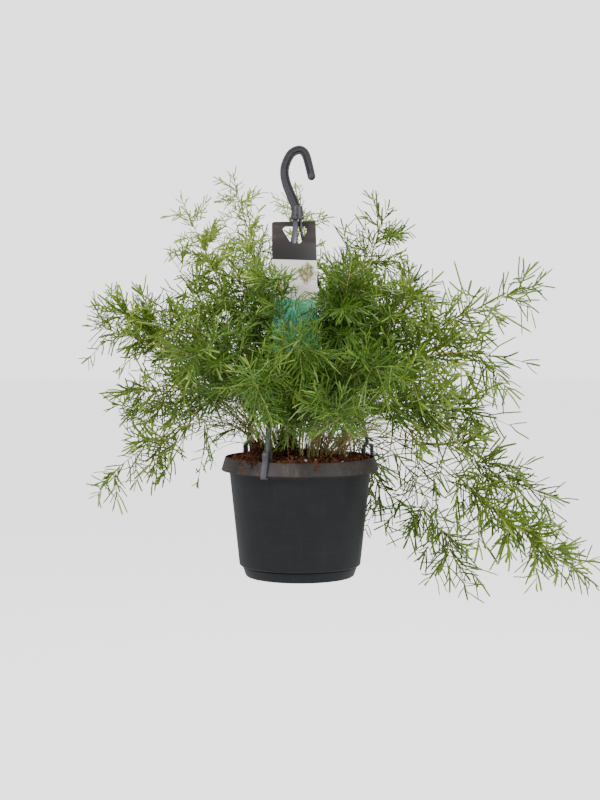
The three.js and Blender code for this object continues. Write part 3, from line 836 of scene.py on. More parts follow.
class Effects:
    """The node groups that several finishes share."""

    def __init__(self) -> None:
        """Builds each group once."""
        self.grain = self._grain()
        self.dust_and_painted_light = self._dust_and_painted_light()
        self.leaf = self._leaf()

    @staticmethod
    def _grain() -> bpy.types.NodeTree:
        """Makes the fine texture of moulded plastic and card.

        Returns:
            The group, which puts out a relief and an uneven shine.
        """
        inputs = [
            ("Place", "Vector", None),
            ("Fineness", "Float", 900.0),
            ("Shine", "Float", 0.5),
            ("Unevenness", "Float", 0.1),
        ]
        w, given, out = make_group("moulded_grain", inputs, [("Relief", "Float"), ("Roughness", "Float")])
        place, unevenness = given["Place"], given["Unevenness"]
        fine = w.node("TexNoise", Vector=place, Scale=given["Fineness"], Detail=2.0).outputs["Fac"]
        drift = w.times(w.minus(w.noise(place, 22.0, 4.0), 0.5), unevenness)
        speck = w.times(w.minus(fine, 0.5), w.times(unevenness, 0.6))
        w.feed(out["Relief"], fine)
        w.feed(out["Roughness"], w.plus(given["Shine"], w.plus(drift, speck), clamp=True))
        return w.tree

    @staticmethod
    def _dust_and_painted_light() -> bpy.types.NodeTree:
        """Makes a thin film of soil dust, with streaks that run down, clouds and specks; where it is laid on
        thick it is also painted light.

        Returns:
            The group, which puts out the dusty colour and the film's mask.
        """
        inputs = [
            ("Place", "Vector", None),
            ("Bare", "Color", (0, 0, 0, 1)),
            ("Dust", "Color", (0.1, 0.06, 0.04, 1)),
            ("Amount", "Float", 0.3),
        ]
        w, given, out = make_group("soil_dust_and_painted_light", inputs, [("Color", "Color"), ("Mask", "Float")])
        place = given["Place"]
        runs = w.span(w.noise(w.stretched(place, (1.0, 1.0, 0.12)), 130.0, 5.0, 0.62), 0.5, 0.78)
        cloud = w.span(w.noise(place, 30.0, 5.0, 0.65), 0.42, 0.72)
        specks = w.span(w.noise(place, 750.0, 2.0, 0.5), 0.66, 0.74)
        film = w.plus(w.times(runs, 0.5), w.times(cloud, 0.35))
        film = w.plus(w.math("MAXIMUM", film, w.times(specks, 0.8)), 0.35)
        mask = w.times(film, given["Amount"], clamp=True)
        w.feed(out["Color"], w.mix(mask, given["Bare"], given["Dust"]))
        w.feed(out["Mask"], mask)
        return w.tree

    @staticmethod
    def _leaf() -> bpy.types.NodeTree:
        """Makes living green that goes from old to young by the tone of each point, painted lighter and
        warmer away from the crown's heart: painted sunlight on the outer growth, along with its yellowing.

        Returns:
            The group, which puts out the colour.
        """
        black = (0, 0, 0, 1)
        inputs = [
            ("Place", "Vector", None),
            ("Tone", "Float", 0.5),
            ("Old", "Color", black),
            ("Full", "Color", black),
            ("Young", "Color", black),
        ]
        w, given, out = make_group("living_green", inputs, [("Color", "Color")])
        place = given["Place"]
        cloud = w.times(w.minus(w.noise(place, 16.0, 3.0), 0.5), 0.3)
        tone = w.plus(given["Tone"], cloud, clamp=True)
        green = w.mix(w.span(tone, 0.0, 0.5), given["Old"], given["Full"])
        # Away from the crown's heart the growth is painted lighter and warmer: painted sunlight on the outer
        # growth, along with the yellowing it takes in full sun.
        spot = w.node("SeparateXYZ", Vector=place)
        rise = w.minus(spot.outputs["Z"], (HEART_Z - HANG_Z) * MM)
        squares = w.times(spot.outputs["X"], spot.outputs["X"])
        outward = w.math("SQRT", w.plus(squares, w.times(rise, rise)))
        painted_sun_and_yellowing = w.mix(1.0, green, (1.6, 1.2, 1.1, 1.0), "MULTIPLY")
        green = w.mix(w.span(outward, 0.09, 0.17), green, painted_sun_and_yellowing)
        w.feed(out["Color"], w.mix(w.span(tone, 0.5, 1.0), green, given["Young"]))
        return w.tree


@dataclass(frozen=True)
class PlasticFinish:
    """Moulded plastic with fine grain and a film of soil dust, thicker over a height, where it is also
    painted light: on the pot it lightens the collar as if lit from above.
    """

    name: str
    color: Color
    worn: Color
    shine: float
    # The film's strength, and the height over which it is full; on the pot's collar the film is both soil
    # dust and painted light from above.
    dust_and_painted_light: float
    dust_and_painted_light_from: float = -400.0
    gleam: float = 0.5
    relief: float = 0.00003
    unevenness: float = 0.14
    fade: float = 0.004

    def build(self, effects: Effects) -> bpy.types.Material:
        """Makes the material.

        Args:
            effects: the shared node groups.

        Returns:
            The material.
        """
        material, w, shader = start_material(self.name)
        place = w.place()
        height = w.node("SeparateXYZ", Vector=place).outputs["Z"]
        # Over this height the film is laid on thick: on the pot this lightens the collar, which is painted
        # light from above as well as dust.
        level = (self.dust_and_painted_light_from - HANG_Z) * MM
        dust_and_painted_light_amount = w.span(height, level - self.fade, level + self.fade, self.dust_and_painted_light * 0.12, self.dust_and_painted_light)
        # Faint scuffs run round the wall, where pots slid inside one another.
        scuffs = w.span(w.noise(w.stretched(place, (0.25, 0.25, 5.0)), 90.0, 4.0, 0.6), 0.5, 0.72)
        bare = w.mix(w.times(scuffs, 0.3), self.color, self.worn)
        dust_and_painted_light_tint = rgb(100, 91, 86)
        dust_and_painted_light = w.node("Group", node_tree=effects.dust_and_painted_light, Place=place, Bare=bare, Dust=dust_and_painted_light_tint, Amount=dust_and_painted_light_amount)
        grain = w.node("Group", node_tree=effects.grain, Place=place, Fineness=1400.0, Shine=self.shine)
        w.feed(grain.inputs["Unevenness"], self.unevenness)
        w.feed(shader["Base Color"], dust_and_painted_light.outputs["Color"])
        rough = w.plus(grain.outputs["Roughness"], w.times(dust_and_painted_light.outputs["Mask"], 0.35), clamp=True)
        w.feed(shader["Roughness"], rough)
        bump = w.node("Bump", Height=grain.outputs["Relief"], Strength=0.5, Distance=self.relief)
        w.feed(shader["Normal"], bump.outputs[0])
        shader["IOR"].default_value = 1.48
        shader["Specular IOR Level"].default_value = self.gleam
        return material


@dataclass(frozen=True)
class LeafFinish:
    """Needles or stems whose green follows their age, painted lighter and warmer away from the crown's heart
    as painted sunlight.
    """

    name: str
    old: Color
    full: Color
    young: Color
    roughness: float

    def build(self, effects: Effects) -> bpy.types.Material:
        """Makes the material.

        Args:
            effects: the shared node groups.

        Returns:
            The material.
        """
        material, w, shader = start_material(self.name)
        green = w.node("Group", node_tree=effects.leaf, Place=w.place(), Tone=w.tone())
        for age, color in (("Old", self.old), ("Full", self.full), ("Young", self.young)):
            w.feed(green.inputs[age], color)
        w.feed(shader["Base Color"], green.outputs["Color"])
        shader["Roughness"].default_value = self.roughness
        shader["IOR"].default_value = 1.42
        return material


@dataclass(frozen=True)
class SoilFinish:
    """Peat and coir, or the white grains among it."""

    name: str
    dark: Color
    light: Color

    def build(self) -> bpy.types.Material:
        """Makes the material.

        Returns:
            The material.
        """
        material, w, shader = start_material(self.name)
        place = w.place()
        cloud = w.noise(place, 420.0, 5.0, 0.7)
        share = w.span(w.plus(w.times(w.tone(), 0.7), w.times(cloud, 0.6)), 0.25, 1.0)
        w.feed(shader["Base Color"], w.mix(share, self.dark, self.light))
        shader["Roughness"].default_value = 0.95
        shader["Specular IOR Level"].default_value = 0.2
        bump = w.node("Bump", Height=w.noise(place, 900.0, 4.0, 0.7), Strength=0.7, Distance=0.0005)
        w.feed(shader["Normal"], bump.outputs[0])
        return material


@dataclass(frozen=True)
class TagFinish:
    """Printed card: a dark head, a pale field with a plain plant shape, and a teal foot."""

    head_z: float = 226.0
    field_z: float = 181.0
    foot_z: float = 128.0
    sprig_x: float = 8.0
    sprig_z: float = 212.0
    slant: float = 0.03  # the bands fall to the right by this share of their width

    def build(self, effects: Effects) -> bpy.types.Material:
        """Makes the material.

        Args:
            effects: the shared node groups.

        Returns:
            The material.
        """
        material, w, shader = start_material("printed_card")
        place = w.place()
        split = w.node("SeparateXYZ", Vector=place)
        across = w.times(split.outputs["X"], 1 / MM)
        height = w.plus(w.plus(w.times(split.outputs["Z"], 1 / MM), HANG_Z), w.times(across, self.slant))
        head = w.mix(w.span(height, self.head_z + 2, self.head_z + 42), rgb(27, 22, 22), rgb(60, 52, 51))
        pale = self._field(w, place, across, height)
        foot = w.mix(w.span(w.noise(place, 45.0, 3.0), 0.35, 0.7), rgb(60, 206, 170), rgb(150, 240, 212))
        foot = w.mix(w.span(height, self.field_z, self.foot_z), foot, rgb(64, 190, 160))
        below = w.mix(w.span(height, self.field_z - 0.4, self.field_z + 0.4), foot, pale)
        print_color = w.mix(w.span(height, self.head_z - 0.3, self.head_z + 0.3), below, head)
        w.feed(shader["Base Color"], print_color)
        grain = w.node("Group", node_tree=effects.grain, Place=place, Fineness=700.0, Shine=0.38)
        w.feed(grain.inputs["Unevenness"], 0.1)
        w.feed(shader["Roughness"], grain.outputs["Roughness"])
        bump = w.node("Bump", Height=grain.outputs["Relief"], Strength=0.25, Distance=0.00002)
        w.feed(shader["Normal"], bump.outputs[0])
        return material

    def _field(self, w: Wiring, place: Socket, across: Socket, height: Socket) -> Socket:
        """Paints the pale field, with a sprig of soft blots.

        Args:
            w: the material's wiring.
            place: the point's place in metres.
            across: its distance to the right, in millimetres.
            height: its height over the rim.

        Returns:
            The colour.
        """
        tint = w.mix(w.noise(place, 60.0, 3.0), rgb(240, 234, 222), rgb(250, 247, 240))
        fronds = w.noise(w.stretched(place, (1.0, 1.0, 0.5)), 480.0, 4.0, 0.7)
        ragged = w.times(w.minus(w.noise(place, 130.0, 2.0), 0.5), 20.0)
        beside = w.math("ABSOLUTE", w.minus(across, self.sprig_x))
        above = w.math("ABSOLUTE", w.minus(height, self.sprig_z))
        near = w.span(w.plus(w.plus(beside, above), ragged), 16.0, 9.0)
        leaves = w.mix(w.span(w.noise(place, 200.0, 2.0), 0.4, 0.6), rgb(92, 108, 38), rgb(140, 118, 52))
        return w.mix(w.times(near, w.span(fronds, 0.32, 0.5)), tint, leaves)


# Pot, saucer and soil


@dataclass
class Pot:
    """The round nursery pot: flared collar, tapered wall, stepped foot and drain holes."""

    sides: int = 144
    wall: float = 1.6
    drains: int = 6
    drain_r: float = 4.0
    drain_at: float = 40.0

    def profile(self) -> np.ndarray:
        """Gives the pot's section.

        Returns:
            Its (radius, z) points, from the axis under the floor round to the axis above it.
        """
        outside = [
            (0, -133), (54, -133, 0.6), (55, POT_FOOT_Z, 0.4), (61, POT_FOOT_Z, 0.8), (64.2, -130.2, 0.6),
            (63.8, -128.4, 0.4), (64.6, -126.9, 0.5), (BODY_FOOT_R - 1.4, -126.4, 0.7),
            (BODY_FOOT_R + 0.1, -125.2, 1.1), (BODY_TOP_R, -16.2, 0.6), (COLLAR_R - 0.5, -COLLAR_H, 0.5),
            (COLLAR_R, COLLAR_EDGE_Z, 0.5), (POT_R + 0.1, -0.3, 0.7),
        ]  # fmt: skip
        inside = [
            (POT_R - self.wall, 0, 0.7), (89, -14, 0.6), (BODY_TOP_R - self.wall, -14.6, 1.0),
            (BODY_FOOT_R - self.wall, -123.5, 1.5), (62.8, -125.5, 1.0), (59.9, -131.4, 1.5), (0, -131.4),
        ]  # fmt: skip
        return rounded([*outside, *inside])

    def build(self, material: bpy.types.Material) -> None:
        """Makes the pot.

        Args:
            material: its plastic.
        """
        batch = MeshBatch("nursery_pot")
        batch.add(*turned(self.profile(), self.sides))
        pot = batch.build([material], 50)
        cutters = MeshBatch("drain_cutters")
        section = rounded([(0, -140), (self.drain_r, -140), (self.drain_r, -125), (0, -125)])
        points, faces = turned(section, 20)
        for i in range(self.drains):
            turn = 2 * math.pi * i / self.drains
            cutters.add(points + self.drain_at * np.array([math.cos(turn), math.sin(turn), 0]), faces)
        carve(pot, cutters.build())
        seat(pot, Finish.POT, "pot")


@dataclass
class Saucer:
    """The clip-on water tray under the pot."""

    sides: int = 144

    def build(self, material: bpy.types.Material) -> None:
        """Makes the tray.

        Args:
            material: its plastic.
        """
        under = [(0, SAUCER_Z + 0.5), (48, SAUCER_Z + 0.5), (49, SAUCER_Z, 0.4), (61.3, SAUCER_Z, 1.2)]
        lip = [
            (63.1, SAUCER_Z + 1.2, 1.5), (66.8, -127.4, 0.5), (65.0, -127.4, 0.5), (64.15, -128.4, 0.3),
            (64.6, -130.2, 0.5), (61.9, POT_FOOT_Z - 0.3, 0.6), (0, POT_FOOT_Z - 0.3),
        ]  # fmt: skip
        batch = MeshBatch("water_saucer")
        batch.add(*turned(rounded([*under, *lip]), self.sides))
        seat(batch.build([material], 50), Finish.POT, "saucer")


GOLDEN = 1.618
CORNERS = np.array([(-1, GOLDEN, 0), (1, GOLDEN, 0), (-1, -GOLDEN, 0), (1, -GOLDEN, 0)])
ICO = np.vstack([np.roll(CORNERS, k, axis=1) for k in range(3)]) / 1.902  # its corners lie 1 from its middle
ICO_FACES = np.array(
    [
        (0, 11, 5), (0, 5, 1), (0, 1, 7), (0, 7, 10), (0, 10, 11), (1, 5, 9), (5, 11, 4),
        (11, 10, 2), (10, 7, 6), (7, 1, 8), (3, 9, 4), (3, 4, 2), (3, 2, 6), (3, 6, 8),
        (3, 8, 9), (4, 9, 5), (2, 4, 11), (6, 2, 10), (8, 6, 7), (9, 8, 1),
    ]
)  # fmt: skip


@dataclass
class Crumbs:
    """Small irregular lumps, with one row or number for each."""

    centres: np.ndarray
    sizes: np.ndarray
    tones: np.ndarray

    def add_to(self, batch: MeshBatch, rng: np.random.Generator, slot: int) -> None:
        """Adds the lumps, each a dented ball turned at random.

        Args:
            batch: where they go.
            rng: the seeded source of their shapes.
            slot: the material slot.
        """
        count = len(self.centres)
        dents = 1 + 0.28 * rng.standard_normal((count, len(ICO), 1)).clip(-1.5, 1.5)
        shape = ICO[None] * dents * self.sizes[:, None, :]
        w, x, y, z = unit(rng.standard_normal((count, 4))).T
        turn = np.stack(
            [
                np.stack([1 - 2 * (y * y + z * z), 2 * (x * y - z * w), 2 * (x * z + y * w)], axis=1),
                np.stack([2 * (x * y + z * w), 1 - 2 * (x * x + z * z), 2 * (y * z - x * w)], axis=1),
                np.stack([2 * (x * z - y * w), 2 * (y * z + x * w), 1 - 2 * (x * x + y * y)], axis=1),
            ],
            axis=1,
        )
        points = np.einsum("nij,nkj->nki", turn, shape) + self.centres[:, None, :]
        faces = (ICO_FACES[None] + len(ICO) * np.arange(count)[:, None, None]).reshape(-1, 3)
        batch.add(points.reshape(-1, 3), [faces], slot, np.repeat(self.tones, len(ICO)))


@dataclass(frozen=True)
class Spill:
    """Crumbs that cling to the collar: their middle, their spread, their heights and their number."""

    x: float
    spread: float
    top: float
    foot: float
    many: int


@dataclass(frozen=True)
class PaintedShadeTangle:
    """Dark dry twigs standing on the soil where the crown's foot lies in shade, so also painted shade: their
    middle, their spread, their height and their number.
    """

    middle: tuple[float, float]
    spread: float
    high: float
    many: int


SPILLS = (Spill(20.0, 4.5, 0.8, -9.5, 46), Spill(12.0, 7.0, 0.8, -2.0, 14), Spill(-66.0, 3.2, 0.6, -14.0, 40))
# Dark twig tangles at the crown's foot: old dry twigs and painted shade where that foot lies in shadow.
PAINTED_SHADE_TANGLES = (PaintedShadeTangle((-16.0, -38.0), 8.5, 24.0, 700), PaintedShadeTangle((-47.0, -65.0), 5.0, 20.0, 640))


@dataclass
class Soil:
    """Coarse brown compost with crumbs, fibres and white grains, filling the pot."""

    sides: int = 160
    floor_z: float = -131.0
    crumbs: int = 2800
    grains: int = 40
    seed: int = 7
    lump: float = 0.13  # how far the surface's noise moves on in a millimetre
    earth_slot: int = 0
    grain_slot: int = 1

    def surface(self, x: np.ndarray, y: np.ndarray) -> np.ndarray:
        """Gives the height of the rough top.

        Args:
            x: how far to the right.
            y: how far to the back.

        Returns:
            The height at each place.
        """
        r = np.hypot(x, y)
        places = [Vector((a * self.lump, b * self.lump, 3.1)) for a, b in zip(x, y)]
        rough = np.array([noise.fractal(place, 0.8, 2.0, 4) for place in places])
        fade = np.clip((POT_R - r) / 8.0, 0.15, 1.0)
        return soil_top(r) - 0.4 + 2.2 * rough * fade

    def build(self, earth: bpy.types.Material, perlite: bpy.types.Material) -> None:
        """Makes the soil.

        Args:
            earth: the brown material.
            perlite: the white grains' material.
        """
        rng = np.random.default_rng(self.seed)
        batch = MeshBatch("potting_soil")
        wall = [(59.4, self.floor_z), (62.3, -125.1), (68.0, -123.1), (79.6, -14.2), (88.3, -13.5)]
        rings = [hoop(r, z, self.sides) for r, z in wall]
        # The top's rings lie closer together towards the wall.
        for r in (85.4, 84, 82, 79.5, 77, 74, 71, 68, 64, 60, 56, 51, 46, 41, 36, 31, 26, 21, 16, 11, 6, 2):
            ring = hoop(r, 0, self.sides)
            ring[:, 2] = self.surface(ring[:, 0], ring[:, 1])
            rings.append(ring)
        points, faces = skin(rings, (0, 0, self.floor_z), (0, 0, SOIL_CROWN_Z))
        batch.add(points, faces, self.earth_slot, 0.35)
        self._crumbs(batch, rng)
        self._grains(batch, rng)
        self._spills(batch, rng)
        self._twigs_and_painted_shade(batch, rng)
        seat(batch.build([earth, perlite], 60), Finish.SOIL, "soil")

    def _on_top(self, r: np.ndarray, turn: np.ndarray, lift: np.ndarray) -> np.ndarray:
        """Places points over the top.

        Args:
            r: their distances from the axis.
            turn: their directions, in radians.
            lift: their heights over the rough surface.

        Returns:
            The points.
        """
        x, y = r * np.cos(turn), r * np.sin(turn)
        return np.stack([x, y, self.surface(x, y) + lift], axis=1)

    def _crumbs(self, batch: MeshBatch, rng: np.random.Generator) -> None:
        """Strews crumbs over the top, many of them near the wall.

        Args:
            batch: where they go.
            rng: the seeded source of their places.
        """
        many = self.crumbs
        r = 84.0 * np.sqrt(rng.random(many))
        r = np.where(rng.random(many) < 0.45, 60 + 24 * rng.random(many), r)
        turn = 2 * math.pi * rng.random(many)
        size = 0.6 + 1.5 * rng.random(many) ** 2.2
        sizes = np.stack([size * (1 + 0.9 * rng.random(many)), size, size * 0.75], axis=1)
        crumbs = Crumbs(self._on_top(r, turn, size * 0.25), sizes, rng.random(many))
        crumbs.add_to(batch, rng, self.earth_slot)

    def _grains(self, batch: MeshBatch, rng: np.random.Generator) -> None:
        """Strews white grains over the top.

        Args:
            batch: where they go.
            rng: the seeded source of their places.
        """
        r = 83.0 * np.sqrt(rng.random(self.grains))
        turn = 2 * math.pi * rng.random(self.grains)
        size = 0.7 + 1.1 * rng.random(self.grains)
        sizes = np.stack([size * 1.2, size, size * 0.9], axis=1)
        grains = Crumbs(self._on_top(r, turn, size * 0.7), sizes, rng.random(self.grains))
        grains.add_to(batch, rng, self.grain_slot)

    def _spills(self, batch: MeshBatch, rng: np.random.Generator) -> None:
        """Lets spilt crumbs cling to the front of the collar and run down at its left.

        Args:
            batch: where they go.
            rng: the seeded source of their places.
        """
        for spill in SPILLS:
            x = spill.x + spill.spread * rng.standard_normal(spill.many).clip(-1.6, 1.6) * 0.5
            z = spill.top + (spill.foot - spill.top) * rng.random(spill.many) ** 1.3
            wall = POT_R + (COLLAR_R - POT_R) * np.clip(z / COLLAR_EDGE_Z, 0, 1) + 0.15
            size = 0.35 + 0.6 * rng.random(spill.many) ** 2
            y = -np.sqrt(np.maximum(wall**2 - x**2, 1.0))
            sizes = np.stack([size * 1.3, size, size], axis=1)
            crumbs = Crumbs(np.stack([x, y, z], axis=1), sizes, 0.3 + 0.6 * rng.random(spill.many))
            crumbs.add_to(batch, rng, self.earth_slot)

    def _twigs_and_painted_shade(self, batch: MeshBatch, rng: np.random.Generator) -> None:
        """Adds the tangles of dark dry twigs at the left of the top's front, which also paint the shade under
        the crown's foot.

        Args:
            batch: where they go.
            rng: the seeded source of their places.
        """
        for shade_tangle in PAINTED_SHADE_TANGLES:
            many = shade_tangle.many
            lift = shade_tangle.high * rng.random(many)
            narrow = (1 - 0.6 * lift / shade_tangle.high)[:, None]
            scatter = rng.standard_normal((many, 2)).clip(-1.5, 1.5)
            x, y = (np.array(shade_tangle.middle) + scatter * shade_tangle.spread * narrow).T
            start = np.stack([x, y, self.surface(x, y) + lift], axis=1)
            way = unit(rng.standard_normal((many, 3)) * 0.7 + UP * 0.3)
            length = 5.0 + 6.0 * rng.random(many)
            bend = rng.standard_normal((many, 3)) * 1.2
            tangent = unit(rng.standard_normal((many, 3)))
            wide = 0.6 + 0.5 * rng.random(many)
            # The twigs take the compost's dark tones: painted shade under the crown's foot.
            Blades(start, way, bend, length, tangent, wide, 0.45 * rng.random(many)).add_to(batch)


# Hanger


@dataclass
class Hook:
    """The moulded hook, with a channel along each face and a socket for the legs."""

    half_start: float = 5.5
    taper: float = 1.0
    depth: float = 8.6
    flange: float = 2.1
    recess: float = 0.8
    groove: float = 2.4
    steps: int = 90
    tip_from: float = 0.965
    tip_share: float = 0.035

    def section(self, share: float) -> np.ndarray:
        """Gives the channelled section, which rounds off at the hook's tip.

        Args:
            share: how far along the hook it is, from 0 to 1.

        Returns:
            Its (in plane, across) points.
        """
        tip = 1.0
        if share > self.tip_from:
            tip = math.sqrt(max(1 - ((share - self.tip_from) / self.tip_share) ** 2, 0.02))
        half = (self.half_start - self.taper * share) * tip
        back = self.depth / 2 * (0.35 + 0.65 * tip)
        fade = min(1.0, max(0.0, (share - 0.02) * 18)) * min(1.0, max(0.0, (self.tip_from - share) * 30))
        web, inner = half - self.flange * tip, half - 1.3 * tip
        sunk, groove = back - self.recess * fade, back - self.groove * fade
        front = [
            (half, back, 0.7), (inner, back, 0.3), (inner - 0.3 * tip, groove, 0.3),
            (inner - 1.7 * tip, groove, 0.3), (inner - 2.4 * tip, sunk, 0.5),
            (-web + 0.7 * tip, sunk, 0.4), (-web, back, 0.4), (-half, back, 1.1),
        ]  # fmt: skip
        rear = [(a, -b, r) for a, b, r in reversed(front)]
        return rounded([*front, *rear], steps=2, closed=True)

    def build(self, material: bpy.types.Material) -> None:
        """Makes the hook.

        Args:
            material: its plastic.
        """
        batch = MeshBatch("carrying_hook")
        line = upright(smooth_line(HOOK_LINE, self.steps))
        batch.add(*sweep(line, self.section, np.array([0.0, 1.0, 0.0])))
        cup = [
            (0, SOCKET_Z + 10), (6.6, SOCKET_Z + 10, 0.4), (6.75, SOCKET_Z, 0.3), (8.0, SOCKET_Z, 0.5),
            (7.75, SOCKET_Z + 3, 0.5), (7.2, SOCKET_Z + 3.4, 0.5), (6.2, SOCKET_Z + 15.6, 0.9),
            (0, SOCKET_Z + 16),
        ]  # fmt: skip
        points, faces = turned(rounded(cup, steps=3), 40)
        batch.add(points + np.array([SOCKET_X, 0, 0]), faces)
        # The pin that locks the legs shows as a small boss on the front of the socket.
        points, faces = turned(rounded([(0, 0), (1.5, 0), (1.5, 1.1, 0.4), (0, 1.1)]), 20)
        facing = points[:, [0, 2, 1]] * np.array([1, -1, 1])
        batch.add(facing + np.array([SOCKET_X, -6.9, SOCKET_Z + 5.6]), faces)
        seat(batch.build([material], 42), Finish.HANGER, "hook")


@dataclass
class Leg:
    """One strip of the hanger, with the arch clip that holds the pot's collar."""

    number: int
    azimuth: float

    def section(self, share: float) -> np.ndarray:
        """Gives the strip's section: flat, with raised edges outside and narrower near the socket.

        Args:
            share: how far along the strip it is, from 0 at the socket to 1.

        Returns:
            Its (in plane, across) points.
        """
        half, wide = LEG_THICK / 2, LEG_WIDTH / 2 * (0.66 + 0.34 * min(1.0, share / 0.2))
        lip = half + 0.25
        edge = [(lip, -wide, 0.5), (lip, 0.9 - wide, 0.2), (half - 0.3, 1.2 - wide, 0.2)]
        other = [(a, -b, r) for a, b, r in reversed(edge)]
        return rounded([*edge, *other, (-half, wide, 0.6), (-half, -wide, 0.6)], steps=2, closed=True)

    def build(self, material: bpy.types.Material) -> None:
        """Makes the leg.

        Args:
            material: its plastic.
        """
        batch = MeshBatch(f"hanger_strip_{self.number}")
        out = leg_outward(self.azimuth)
        across = np.array([-out[1], out[0], 0.0])
        strip = leg_place(smooth_line(LEG_LINE, 60), out)
        clip = leg_place(smooth_line(CLIP_LINE, 54), out)
        batch.add(*sweep(strip, self.section, across))
        batch.add(*sweep(clip, lambda _share: self.section(1.0), across))
        seat(batch.build([material], 42), Finish.HANGER, f"hanger_leg_{self.number}")


# Hang tag


@dataclass
class HangTag:
    """The bent card that hangs from the legs by its cut-out."""

    thick: float = 0.8
    rows: int = 90
    columns: int = 44
    corner: float = 2.0
    curl: float = 1.6
    curl_from: float = 25.0  # the curl fades out over this distance from either end

    def build(self, material: bpy.types.Material) -> None:
        """Makes the card.

        Args:
            material: its printed surface.
        """
        batch = MeshBatch("hang_card")
        batch.add(*self._sheet())
        card = batch.build([material], 35)
        carve(card, self._cutter())
        seat(card, Finish.TAG, "hang_tag")

    def _sheet(self) -> Shape:
        """Bends the card along its line, with round corners and edges that curl forwards.

        Returns:
            The shape.
        """
        flat = smooth_line(TAG_LINE, self.rows)
        tangent = unit(np.gradient(flat, axis=0))
        normal = np.stack([-tangent[:, 1], tangent[:, 0]], axis=1)
        length = lengths(flat)
        end = np.minimum(length, length[-1] - length)
        inset = self.corner - np.sqrt(np.maximum(self.corner**2 - np.maximum(self.corner - end, 0) ** 2, 0))
        inset = inset[:, None]
        share = np.linspace(0, 1, self.columns + 1)[None]
        x = TAG_LEFT + inset + (TAG_RIGHT - TAG_LEFT - 2 * inset) * share
        curl = self.curl * ((share - 0.5) * 2) ** 2 * np.clip(end / self.curl_from, 0, 1)[:, None]
        faces = []
        for side in (0.5, -0.5):
            y, z = (flat + normal * self.thick * side).T[:, :, None]
            faces.append(np.stack(np.broadcast_arrays(x, y - curl, z), axis=2))
        points = np.vstack([f.reshape(-1, 3) for f in faces])
        points[:, [0, 2]] = self._roll(points[:, [0, 2]])
        grid = np.arange(x.size).reshape(x.shape)
        front = np.stack([grid[:-1, :-1], grid[:-1, 1:], grid[1:, 1:], grid[1:, :-1]], axis=-1).reshape(-1, 4)
        edge = np.concatenate([grid[0], grid[1:, -1], grid[-1, -2::-1], grid[-2:0:-1, 0]])
        after = np.roll(edge, -1)
        rim = np.stack([edge, edge + x.size, after + x.size, after], axis=1)
        return points, [front, front[:, ::-1] + x.size, rim]

    def _cutter(self) -> bpy.types.Object:
        """Makes the block that the card's cut-out is cut with.

        Returns:
            The block.
        """
        outline = self._roll(rounded([(x, z, 3.0) for x, z in TAG_HOLE], steps=5, closed=True))
        count = len(outline)
        k = np.arange(count)
        hole = MeshBatch("cut_out")
        points = np.vstack([upright(outline, y) for y in (-30.0, 25.0)])
        hole.add(points, [ring_faces(2, count), k[None, ::-1], k[None] + count])
        return hole.build()

    @staticmethod
    def _roll(xz: np.ndarray) -> np.ndarray:
        """Turns (x, z) points by the card's small roll.

        Args:
            xz: the points.

        Returns:
            The turned points.
        """
        turn = math.radians(TAG_ROLL)
        x, z = xz[:, 0], xz[:, 1] - TAG_ROLL_Z
        rolled_x = x * math.cos(turn) - z * math.sin(turn)
        rolled_z = TAG_ROLL_Z + z * math.cos(turn) + x * math.sin(turn)
        return np.stack([rolled_x, rolled_z], axis=1)


# Plant


